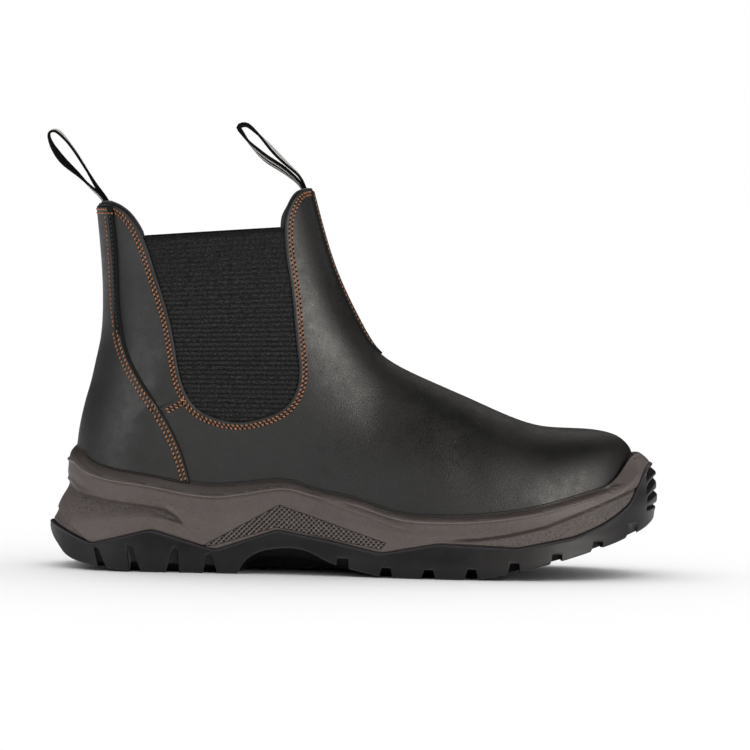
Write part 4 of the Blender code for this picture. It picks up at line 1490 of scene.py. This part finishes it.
def make_outsole(rubber):
    half_turns = outsole_turns()
    turns = both_sides(half_turns)
    count = len(turns)
    x = ground_x(turns)
    top = divide_at(turns)
    foot = np.minimum(np.maximum(ground_z(x, x), notch_z(x)), top - 2.6)

    def carried(z):
        """Turns of the columns at a height, carried along with the leaning notches."""
        moved = way_along(turns) + notch_lean(x, z, top) / (GROUND_TOE - GROUND_HEEL)
        turn = turn_for(np.clip(moved, 0.0, 1.0))
        return np.where(turns > np.pi, FULL_TURN - turn, turn)

    levels = [(foot, -0.5), (foot + 0.45, -0.08), (foot + 1.0, 0.0)]
    for share in np.linspace(0.0, 1.0, OUTSOLE_ROWS)[1:-1]:
        levels.append((foot + 1.0 + (top - foot - 2.5) * share, 0.0))
    levels += [(top - 1.5, 0.0), (top - 0.95, RIM_PROUD * 0.8), (top - 0.45, RIM_PROUD)]
    levels += [(top - 0.1, -0.1), (top, -0.8)]
    # Mask for a painted highlight: the lowest rows along the lugs' edges and three rows of the rim.
    edges = [1.0, 0.7] + [0.0] * OUTSOLE_ROWS + [0.3, 0.8, 0.6, 0.0, 0.0, 0.0]
    rows = []
    for z, out in levels:
        turn = carried(z)
        place = sole_at(turn, z)
        out = out - TOE_GROOVE_DEEP * toe_groove(place[:, 0], z) * (z < top - 1.2)
        rows.append(place + sole_out(turn, z) * out[:, None])
    ledge = sole_at(turns, top) - sole_out(turns, top) * OUTSOLE_LEDGE
    ledge[:, 2] -= 0.1
    deep = ledge.copy()
    deep[:, 2] = np.minimum(core_z(turns), top - 0.4)
    rows += [ledge, deep]
    shell = Shell()
    edges = np.broadcast_to(np.array(edges)[:, None], (len(rows), count))
    shell.add(np.stack(rows), grid_faces(len(rows), count, wrap=True), 0, edges)
    shell.add_faces(cap_faces((len(rows) - 1) * count, count))
    add_tread(shell, rows[0], half_turns)
    make_piece("rubber_outsole", shell, [rubber], "outsole", 38.0)


def toe_groove(x, z):
    """1 in the middle of a groove round the toe, 0 away from the grooves."""
    best = np.zeros(np.shape(x))
    for groove in TOE_GROOVES:
        past = x - groove.end_x
        middle = groove.end_z + groove.slope * (past - np.hypot(past, 2.0)) / 2.0
        wide = TOE_GROOVE_WIDE * math.hypot(1.0, groove.slope)
        best = np.maximum(best, ramp(x, groove.start_x, 2.0) * hump(z, middle, wide))
    return best


def add_tread(shell, edge, half_turns):
    """Underside between the two sides of the outsole's lower edge. Its rows bend into chevrons."""
    half = len(half_turns)
    across = np.linspace(-1.0, 1.0, TREAD_ACROSS + 1)
    across = np.sin(across * np.pi / 2.0) * 0.35 + across * 0.65
    off = np.abs(across)[None, :]
    grid = between(edge[:half, None, :], edge[half:][::-1, None, :], (across[None, :, None] + 1.0) / 2.0)
    x = ground_x(half_turns)[:, None]
    row_x = np.broadcast_to(x, grid.shape[:2])
    inside = ramp(x, GROUND_HEEL + 8.0, 8.0) * ramp(-x, 8.0 - GROUND_TOE, 8.0) * (1.0 - ramp(off, 0.93, 0.05))
    grid[..., 0] += (row_x - grid[..., 0]) * inside
    bend = TREAD_BEND * np.clip(TREAD_RING - off, 0.0, 1.0)
    grid[..., 0] += bend * ramp(x, GROUND_HEEL, 40.0) * ramp(-x, -GROUND_TOE, 40.0)
    z = tread_z(row_x, grid[..., 0], np.broadcast_to(across, grid.shape[:2]))
    roof = np.maximum(core_z(half_turns) - 2.0, 1.0)[:, None]
    grid[:, 1:-1, 2] = np.minimum(z, np.maximum(roof, ground_z(grid[..., 0], row_x)))[:, 1:-1]
    shell.add(grid, grid_faces(half, TREAD_ACROSS + 1))


def make_insole(textile):
    """Footbed inside the upper, a little cupped at its edge."""
    turns = both_sides((np.arange(INSOLE_ROWS) + 0.5) * np.pi / INSOLE_ROWS)
    edge = skin(np.zeros(len(turns)), turns, -(WALL + INSOLE_CLEAR))
    across = np.sin(np.linspace(-1.0, 1.0, INSOLE_ACROSS) * np.pi / 2.0)
    share = (across[None, :, None] + 1.0) / 2.0
    top = between(edge[:INSOLE_ROWS, None, :], edge[INSOLE_ROWS:][::-1, None, :], share)
    floor = FOOT["floor_z"](top[..., 0]) + GAP
    near_end = np.abs((top[..., 0] - 2.0) / 137.0) ** 6
    top[..., 2] = floor + INSOLE_THICK + INSOLE_CUP * np.clip(np.abs(across) ** 5 + near_end, 0.0, 1.0)
    bottom = top.copy()
    bottom[..., 2] = floor
    make_plate("footbed", top, bottom, [textile], "insole")


# Node groups that several finishes share


def new_group(name, inputs, outputs):
    """Shader group with its named sockets. Inputs come with first values and outputs with their kinds."""
    tree = bpy.data.node_groups.new(name, "ShaderNodeTree")
    for label, value in inputs.items():
        kind = "NodeSocketColor" if isinstance(value, tuple) else "NodeSocketFloat"
        tree.interface.new_socket(label, in_out="INPUT", socket_type=kind).default_value = value
    for label, kind in outputs.items():
        tree.interface.new_socket(label, in_out="OUTPUT", socket_type="NodeSocket" + kind)
    return tree, tree.nodes.new("NodeGroupInput").outputs, tree.nodes.new("NodeGroupOutput")


def feed(tree, made, name, value):
    """Links another node's output to an input, or sets the input to a value. Colours are red, green, blue."""
    socket = made.inputs[name]
    if isinstance(value, bpy.types.NodeSocket):
        tree.links.new(value, socket)
    elif socket.type == "RGBA":
        socket.default_value = (*value, 1.0)
    else:
        socket.default_value = value


def add_node(tree, kind, settings=None, **inputs):
    """Node with its settings, and its inputs by socket name."""
    made = tree.nodes.new("ShaderNode" + kind)
    for name, value in (settings or {}).items():
        setattr(made, name, value)
    for name, value in inputs.items():
        feed(tree, made, name.replace("_", " "), value)
    return made


def math_node(tree, operation, first, second=0.0, clamp=False):
    made = add_node(tree, "Math", {"operation": operation, "use_clamp": clamp})
    feed(tree, made, 0, first)
    feed(tree, made, 1, second)
    return made.outputs[0]


def times(tree, first, second):
    return math_node(tree, "MULTIPLY", first, second)


def mixed(tree, share, first, second, kind="RGBA"):
    """Mix of two colours or two values by a share."""
    made = add_node(tree, "Mix", {"data_type": kind})
    first_socket, second_socket, result = {"FLOAT": (2, 3, 0), "RGBA": (6, 7, 2)}[kind]
    for socket, value in ((0, share), (first_socket, first), (second_socket, second)):
        feed(tree, made, socket, value)
    return made.outputs[result]


def ranged(tree, value, low, high, to_low=0.0, to_high=1.0):
    """Value carried from one range to another and held within it."""
    made = add_node(tree, "MapRange", {"clamp": True}, Value=value)
    for name, limit in (("From Min", low), ("From Max", high), ("To Min", to_low), ("To Max", to_high)):
        feed(tree, made, name, limit)
    return made.outputs[0]


def object_place(tree):
    return tree.nodes.new("ShaderNodeTexCoord").outputs["Object"]


def noise(tree, place, scale, detail, rough=0.5):
    made = add_node(tree, "TexNoise", None, Vector=place, Scale=scale, Detail=detail, Roughness=rough)
    return made.outputs[0]


def grain_group():
    """Pores and pebbles: rounded cells of one size broken up by finer ones."""
    inputs = {"Scale": 900.0, "Fine Share": 0.4}
    tree, given, put = new_group("Surface grain", inputs, {"Height": "Float", "Pores": "Float"})
    place = object_place(tree)
    cells = add_node(tree, "TexVoronoi", {"feature": "SMOOTH_F1"}, Vector=place, Scale=given["Scale"])
    specks = noise(tree, place, times(tree, given["Scale"], 2.7), 2.0)
    domes = math_node(tree, "SUBTRACT", 1.0, cells.outputs["Distance"], True)
    feed(tree, put, "Height", mixed(tree, given["Fine Share"], domes, specks, "FLOAT"))
    feed(tree, put, "Pores", ranged(tree, cells.outputs["Distance"], 0.35, 0.75))
    return tree


def mottle_group():
    """Uneven dye and bloom: two colours in soft clouds, with the clouds as a mask."""
    inputs = {"Scale": 30.0, "Dark": (0.01, 0.01, 0.01, 1.0), "Light": (0.03, 0.03, 0.03, 1.0)}
    tree, given, put = new_group("Uneven colour", inputs, {"Colour": "Color", "Clouds": "Float"})
    place = object_place(tree)
    broad = noise(tree, place, given["Scale"], 3.0)
    small = noise(tree, place, times(tree, given["Scale"], 9.0), 2.0)
    clouds = ranged(tree, mixed(tree, 0.3, broad, small, "FLOAT"), 0.36, 0.64)
    feed(tree, put, "Colour", mixed(tree, clouds, given["Dark"], given["Light"]))
    feed(tree, put, "Clouds", clouds)
    return tree


def weave_group():
    """Plain weave in the object's own directions: height of the yarns and a mask of the gaps between them."""
    inputs = {"Along": 1100.0, "Up": 1100.0}
    tree, given, put = new_group("Plain weave", inputs, {"Height": "Float", "Gaps": "Float"})
    split = add_node(tree, "SeparateXYZ", None, Vector=object_place(tree)).outputs
    flat = math_node(tree, "ADD", split["X"], split["Y"])
    warp = math_node(tree, "SINE", times(tree, flat, given["Along"]))
    weft = math_node(tree, "SINE", times(tree, split["Z"], given["Up"]))
    height = ranged(tree, times(tree, warp, weft), -1.0, 1.0)
    feed(tree, put, "Height", height)
    feed(tree, put, "Gaps", ranged(tree, height, 0.45, 0.1))
    return tree


def scuff_group():
    """Handling marks: sparse rubbed patches broken up by dust."""
    tree, given, put = new_group("Handling marks", {"Scale": 60.0, "Amount": 0.3}, {"Rubbed": "Float"})
    place = object_place(tree)
    patch = ranged(tree, noise(tree, place, given["Scale"], 4.0, 0.7), 0.55, 0.75)
    dust = ranged(tree, noise(tree, place, times(tree, given["Scale"], 14.0), 2.0), 0.35, 0.7)
    feed(tree, put, "Rubbed", times(tree, times(tree, patch, dust), given["Amount"]))
    return tree


GROUPS = {"grain": grain_group(), "mottle": mottle_group(), "weave": weave_group(), "scuff": scuff_group()}


# Finishes


def new_finish(name):
    made = bpy.data.materials.new(name)
    made.use_nodes = True
    return made, made.node_tree, made.node_tree.nodes["Principled BSDF"]


def use_group(tree, name, **inputs):
    """Outputs of one of the shared groups, with its inputs by socket name."""
    made = tree.nodes.new("ShaderNodeGroup")
    made.node_tree = GROUPS[name]
    for label, value in inputs.items():
        feed(tree, made, label.replace("_", " "), value)
    return made.outputs


def paint(tree, shader, colour, rough, shine=0.5):
    """Colour, roughness and shine of a finish."""
    for name, value in (("Base Color", colour), ("Roughness", rough), ("Specular IOR Level", shine)):
        feed(tree, shader, name, value)


def bump(tree, shader, height, distance):
    made = add_node(tree, "Bump", None, Height=height, Strength=1.0, Distance=distance * MM)
    feed(tree, shader, "Normal", made.outputs["Normal"])


def mask_of(tree):
    return add_node(tree, "Attribute", {"attribute_name": "mask"}).outputs["Fac"]


def leather_finish(name, dark, light, rough):
    """Oiled smooth leather with a fine grain, uneven wax and light rubs."""
    made, tree, shader = new_finish(name)
    dye = use_group(tree, "mottle", Scale=22.0, Dark=dark, Light=light)
    grain = use_group(tree, "grain", Scale=1700.0, Fine_Share=0.5)
    rubs = use_group(tree, "scuff", Scale=45.0, Amount=0.12)["Rubbed"]
    pored = mixed(tree, times(tree, grain["Pores"], 0.6), dye["Colour"], (0.003, 0.003, 0.003))
    worn = mixed(tree, rubs, pored, (0.045, 0.041, 0.036))
    waxed = ranged(tree, dye["Clouds"], 0.0, 1.0, rough - 0.08, rough + 0.08)
    dulled = ranged(tree, grain["Height"], 0.35, 0.75, 0.10, -0.06)
    rough_here = math_node(tree, "ADD", math_node(tree, "ADD", waxed, dulled), rubs)
    paint(tree, shader, worn, rough_here, ranged(tree, dye["Clouds"], 0.2, 0.8, 0.55, 0.46))
    bump(tree, shader, grain["Height"], 0.17)
    return made


def cut_edge_finish():
    """Raw black edge of a leather layer."""
    made, tree, shader = new_finish("cut_edge")
    fibres = use_group(tree, "grain", Scale=1300.0, Fine_Share=0.6)["Height"]
    paint(tree, shader, mixed(tree, fibres, (0.002, 0.002, 0.002), (0.010, 0.010, 0.010)), 0.8, 0.2)
    bump(tree, shader, fibres, 0.35)
    return made


def lining_finish():
    made, tree, shader = new_finish("textile_lining")
    dye = use_group(tree, "mottle", Scale=60.0, Dark=(0.010, 0.0095, 0.009), Light=(0.021, 0.0195, 0.018))
    weave = use_group(tree, "weave", Along=5200.0, Up=5200.0)
    paint(tree, shader, mixed(tree, weave["Gaps"], dye["Colour"], (0.006, 0.006, 0.006)), 0.92)
    feed(tree, shader, "Sheen Weight", 0.25)
    bump(tree, shader, weave["Height"], 0.15)
    return made


def elastic_finish():
    """Black elastic: painted rib shading from the mask, dark in the grooves and lighter on the crests, with
    paler dashes of yarn along them.
    """
    made, tree, shader = new_finish("ribbed_elastic")
    drawn = add_node(tree, "VectorMath", {"operation": "MULTIPLY"})
    feed(tree, drawn, 0, object_place(tree))
    feed(tree, drawn, 1, (900.0, 900.0, 1500.0))
    fibres = noise(tree, drawn.outputs[0], 1.0, 2.0, 0.6)
    # Painted rib shading: the colour mixed below is near-black in the grooves and lighter on the crests.
    ribs = ranged(tree, mask_of(tree), 0.25, 0.95)
    yarn = mixed(tree, ribs, (0.0040, 0.0040, 0.0040), (0.0200, 0.0195, 0.0195))
    specks = times(tree, ranged(tree, fibres, 0.46, 0.66), ranged(tree, ribs, 0.0, 1.0, 0.25, 0.9))
    colour = mixed(tree, specks, yarn, (0.052, 0.050, 0.050))
    colour = mixed(tree, ranged(tree, fibres, 0.44, 0.28), colour, (0.004, 0.004, 0.004))
    paint(tree, shader, colour, 0.9, 0.15)
    bump(tree, shader, fibres, 0.35)
    return made


def thread_finish(name, colour, shadow):
    """Twisted thread with a soft shine."""
    made, tree, shader = new_finish(name)
    twist = use_group(tree, "mottle", Scale=500.0, Dark=shadow, Light=colour)
    paint(tree, shader, twist["Colour"], 0.5)
    bump(tree, shader, twist["Clouds"], 0.08)
    return made


def hole_shade_finish():
    # Painted shade for the needle holes: near-black in fine clouds, matte.
    made, tree, shader = new_finish("needle_hole_shade")
    hole_shade = use_group(tree, "mottle", Scale=800.0, Dark=(0.002, 0.002, 0.002), Light=(0.006, 0.006, 0.006))
    paint(tree, shader, hole_shade["Colour"], 0.8, 0.1)
    return made


def webbing_finish():
    """Black woven tape. Its outer face, where the mask is 1 or less, has two pale lines along it."""
    made, tree, shader = new_finish("pull_webbing")
    line = math_node(tree, "ABSOLUTE", math_node(tree, "SUBTRACT", mask_of(tree), 0.40))
    weave = use_group(tree, "weave", Along=9000.0, Up=9000.0)["Height"]
    threads = mixed(tree, weave, (0.004, 0.004, 0.004), (0.007, 0.007, 0.007))
    yarn = mixed(tree, weave, (0.74, 0.71, 0.67), (0.92, 0.89, 0.85))
    paint(tree, shader, mixed(tree, ranged(tree, line, 0.20, 0.16), threads, yarn), 0.9, 0.08)
    bump(tree, shader, weave, 0.03)
    return made


def foam_finish():
    """Moulded taupe foam: pebbled skin, a painted highlight where the mask is 2, coarse at 1, and painted
    shade, darker and smooth, at -1.
    """
    made, tree, shader = new_finish("moulded_foam")
    shade = use_group(tree, "mottle", Scale=28.0, Dark=(0.112, 0.085, 0.077), Light=(0.140, 0.109, 0.100))
    fine = use_group(tree, "grain", Scale=1500.0, Fine_Share=0.5)
    coarse = use_group(tree, "grain", Scale=1400.0, Fine_Share=0.35)
    rubs = use_group(tree, "scuff", Scale=80.0, Amount=0.25)["Rubbed"]
    mask = mask_of(tree)
    # Share of painted highlight, where the mask is above 1.
    pale = ranged(tree, mask, 1.0, 2.0)
    raised = math_node(tree, "MAXIMUM", mask, 0.0)
    pebbles = math_node(tree, "SUBTRACT", raised, times(tree, pale, 2.0), True)
    # Share of painted shade, where the mask is below 0.
    painted_shade = math_node(tree, "MAXIMUM", times(tree, mask, -1.0), 0.0)
    height = mixed(tree, pebbles, times(tree, fine["Height"], 0.35), coarse["Height"], "FLOAT")
    pits = mixed(tree, pebbles, times(tree, fine["Pores"], 0.3), times(tree, coarse["Pores"], 0.7), "FLOAT")
    colour = mixed(tree, pits, shade["Colour"], (0.020, 0.016, 0.014))
    colour = mixed(tree, rubs, colour, (0.17, 0.145, 0.13))
    # Painted shade colour, then painted highlight colour.
    colour = mixed(tree, times(tree, painted_shade, 0.75), colour, (0.040, 0.027, 0.022))
    colour = mixed(tree, pale, colour, (0.235, 0.195, 0.180))
    paint(tree, shader, colour, ranged(tree, shade["Clouds"], 0.0, 1.0, 0.50, 0.60), 0.45)
    bump(tree, shader, height, 0.70)
    return made


def rubber_finish():
    """Black satin rubber with a faint bloom, fine moulding texture, light rubs, and a painted highlight along
    the edges by the mask.
    """
    made, tree, shader = new_finish("outsole_rubber")
    dark, light = (0.0066, 0.0058, 0.0066), (0.0112, 0.0100, 0.0112)
    bloom = use_group(tree, "mottle", Scale=35.0, Dark=dark, Light=light)
    texture = use_group(tree, "grain", Scale=2200.0, Fine_Share=0.6)
    rubs = use_group(tree, "scuff", Scale=70.0, Amount=0.30)["Rubbed"]
    colour = mixed(tree, rubs, bloom["Colour"], (0.045, 0.042, 0.045))
    # Painted highlight along the lugs' lower edges and the rim, where the mask is set.
    colour = mixed(tree, times(tree, mask_of(tree), 0.85), colour, (0.058, 0.053, 0.063))
    paint(tree, shader, colour, ranged(tree, bloom["Clouds"], 0.0, 1.0, 0.42, 0.54), 0.3)
    bump(tree, shader, texture["Height"], 0.06)
    return made


def footbed_finish():
    made, tree, shader = new_finish("footbed_textile")
    dye = use_group(tree, "mottle", Scale=90.0, Dark=(0.035, 0.033, 0.032), Light=(0.060, 0.057, 0.055))
    paint(tree, shader, dye["Colour"], 0.95)
    bump(tree, shader, use_group(tree, "weave", Along=3600.0, Up=3600.0)["Height"], 0.2)
    return made


# Floor, light and camera

CAMERA_FROM = (11.5, -2400.0, 195.0)
CAMERA_TILT = 2.3278
CAMERA_ROLL = 1.072
CAMERA_LENS = 231.2
CAMERA_SENSOR = 36.0
WARM = (1.0, 0.95, 0.89)
NEUTRAL = (1.0, 0.99, 0.98)
Softbox = namedtuple("Softbox", "name place towards wide tall power tint")
SOFTBOXES = [
    Softbox("right_softbox", (1.25, -1.15, 0.45), (0.0, 0.0, 0.08), 0.6, 1.1, 40.0, WARM),
    Softbox("left_softbox", (-1.32, -1.05, 0.50), (0.0, 0.0, 0.08), 0.5, 1.1, 13.0, NEUTRAL),
    Softbox("top_softbox", (0.5, 1.5, 1.3), (0.08, 0.0, 0.07), 0.9, 0.6, 2.2, WARM),
]
FLOOR_REACH = 40.0
SKY_LOW = 0.30
SKY_HIGH = 1.30
SKY_SHINE = 0.02
SKY_BACK = 0.45


def make_floor():
    mesh = bpy.data.meshes.new("floor")
    corners = [(x * FLOOR_REACH, y * FLOOR_REACH, 0.0) for x, y in ((-1, -1), (1, -1), (1, 1), (-1, 1))]
    mesh.from_pydata(corners, [], [(0, 1, 2, 3)])
    floor = bpy.data.objects.new("floor", mesh)
    bpy.context.scene.collection.objects.link(floor)
    made, tree, shader = new_finish("pale_floor")
    shade = use_group(tree, "mottle", Scale=2.0, Dark=(0.862, 0.862, 0.862), Light=(0.874, 0.874, 0.874))
    paint(tree, shader, shade["Colour"], 0.9, 0.0)
    mesh.materials.append(made)


def make_world():
    """White surroundings: brighter overhead for soft light, plain white to the eye and dim in reflections."""
    world = bpy.data.worlds.new("studio")
    bpy.context.scene.world = world
    world.use_nodes = True
    world.cycles.sampling_method = "NONE"
    tree = world.node_tree
    tree.nodes.clear()
    path = tree.nodes.new("ShaderNodeLightPath").outputs
    way = tree.nodes.new("ShaderNodeTexCoord").outputs["Generated"]
    split = add_node(tree, "SeparateXYZ", None, Vector=way).outputs
    soft = ranged(tree, split["Z"], 0.0, 1.0, SKY_LOW, SKY_LOW + SKY_HIGH)
    soft = times(tree, soft, ranged(tree, split["Y"], -1.0, 1.0, 1.0 - SKY_BACK, 1.0 + SKY_BACK))
    seen = mixed(tree, path["Is Camera Ray"], soft, 1.0, "FLOAT")
    strength = mixed(tree, path["Is Glossy Ray"], seen, SKY_SHINE, "FLOAT")
    glow = add_node(tree, "Background", None, Color=(1.0, 1.0, 1.0), Strength=strength)
    feed(tree, tree.nodes.new("ShaderNodeOutputWorld"), "Surface", glow.outputs[0])


def make_softbox(box):
    """Oblong soft light that points at a place. It adds highlights but no soft light."""
    light = bpy.data.lights.new(box.name, "AREA")
    light.shape = "RECTANGLE"
    light.size = box.wide
    light.size_y = box.tall
    light.energy = box.power
    light.color = box.tint
    lamp = bpy.data.objects.new(box.name, light)
    bpy.context.scene.collection.objects.link(lamp)
    lamp.location = box.place
    lamp.rotation_mode = "QUATERNION"
    lamp.rotation_quaternion = (Vector(box.towards) - Vector(box.place)).to_track_quat("-Z", "Y")
    lamp.visible_diffuse = False


def make_camera():
    data = bpy.data.cameras.new("camera")
    data.lens = CAMERA_LENS
    data.sensor_width = CAMERA_SENSOR
    data.clip_end = 100.0
    camera = bpy.data.objects.new("camera", data)
    bpy.context.scene.collection.objects.link(camera)
    tilt = Matrix.Rotation(math.radians(90.0 - CAMERA_TILT), 4, "X")
    roll = Matrix.Rotation(math.radians(CAMERA_ROLL), 4, "Z")
    place = Matrix.Translation([c * MM for c in CAMERA_FROM])
    camera.matrix_world = place @ tilt @ roll
    bpy.context.scene.camera = camera


make_camera()
make_floor()
make_world()
for box in SOFTBOXES:
    make_softbox(box)
bpy.context.scene.view_settings.view_transform = "Standard"

LEATHER = leather_finish("oiled_leather", (0.0052, 0.0050, 0.0049), (0.0112, 0.0108, 0.0104), 0.46)
EDGE_LEATHER = leather_finish("edge_leather", (0.0042, 0.0043, 0.0046), (0.0088, 0.0091, 0.0096), 0.52)
CUT_EDGE = cut_edge_finish()
LINING = lining_finish()
ELASTIC = elastic_finish()
THREAD = thread_finish("tan_thread", (0.56, 0.215, 0.072), (0.24, 0.083, 0.028))
DARK_THREAD = thread_finish("black_thread", (0.022, 0.022, 0.023), (0.008, 0.008, 0.008))
HOLE_DARK = hole_shade_finish()
WEBBING = webbing_finish()
FOAM = foam_finish()
RUBBER = rubber_finish()
FOOTBED = footbed_finish()

make_upper(LEATHER, LINING)
make_collar(EDGE_LEATHER, LINING)
make_welt(EDGE_LEATHER)
make_heel_panel(LEATHER, CUT_EDGE)
make_quarter_seam(EDGE_LEATHER)
make_front_strip(LEATHER, CUT_EDGE)
make_elastic("elastic_outer", -1, ELASTIC, "gusset_outer")
make_elastic("elastic_inner", 1, ELASTIC, "gusset_inner")
make_stitching(THREAD, DARK_THREAD, HOLE_DARK)
make_pull_loop("back_loop", BACK_LOOP, BACK_TWIST, 1, WEBBING, "pull_loop_back")
make_pull_loop("front_loop", FRONT_LOOP, FRONT_TWIST, -1, WEBBING, "pull_loop_front")
make_midsole(FOAM)
make_wedge(FOAM)
make_outsole(RUBBER)
make_insole(FOOTBED)
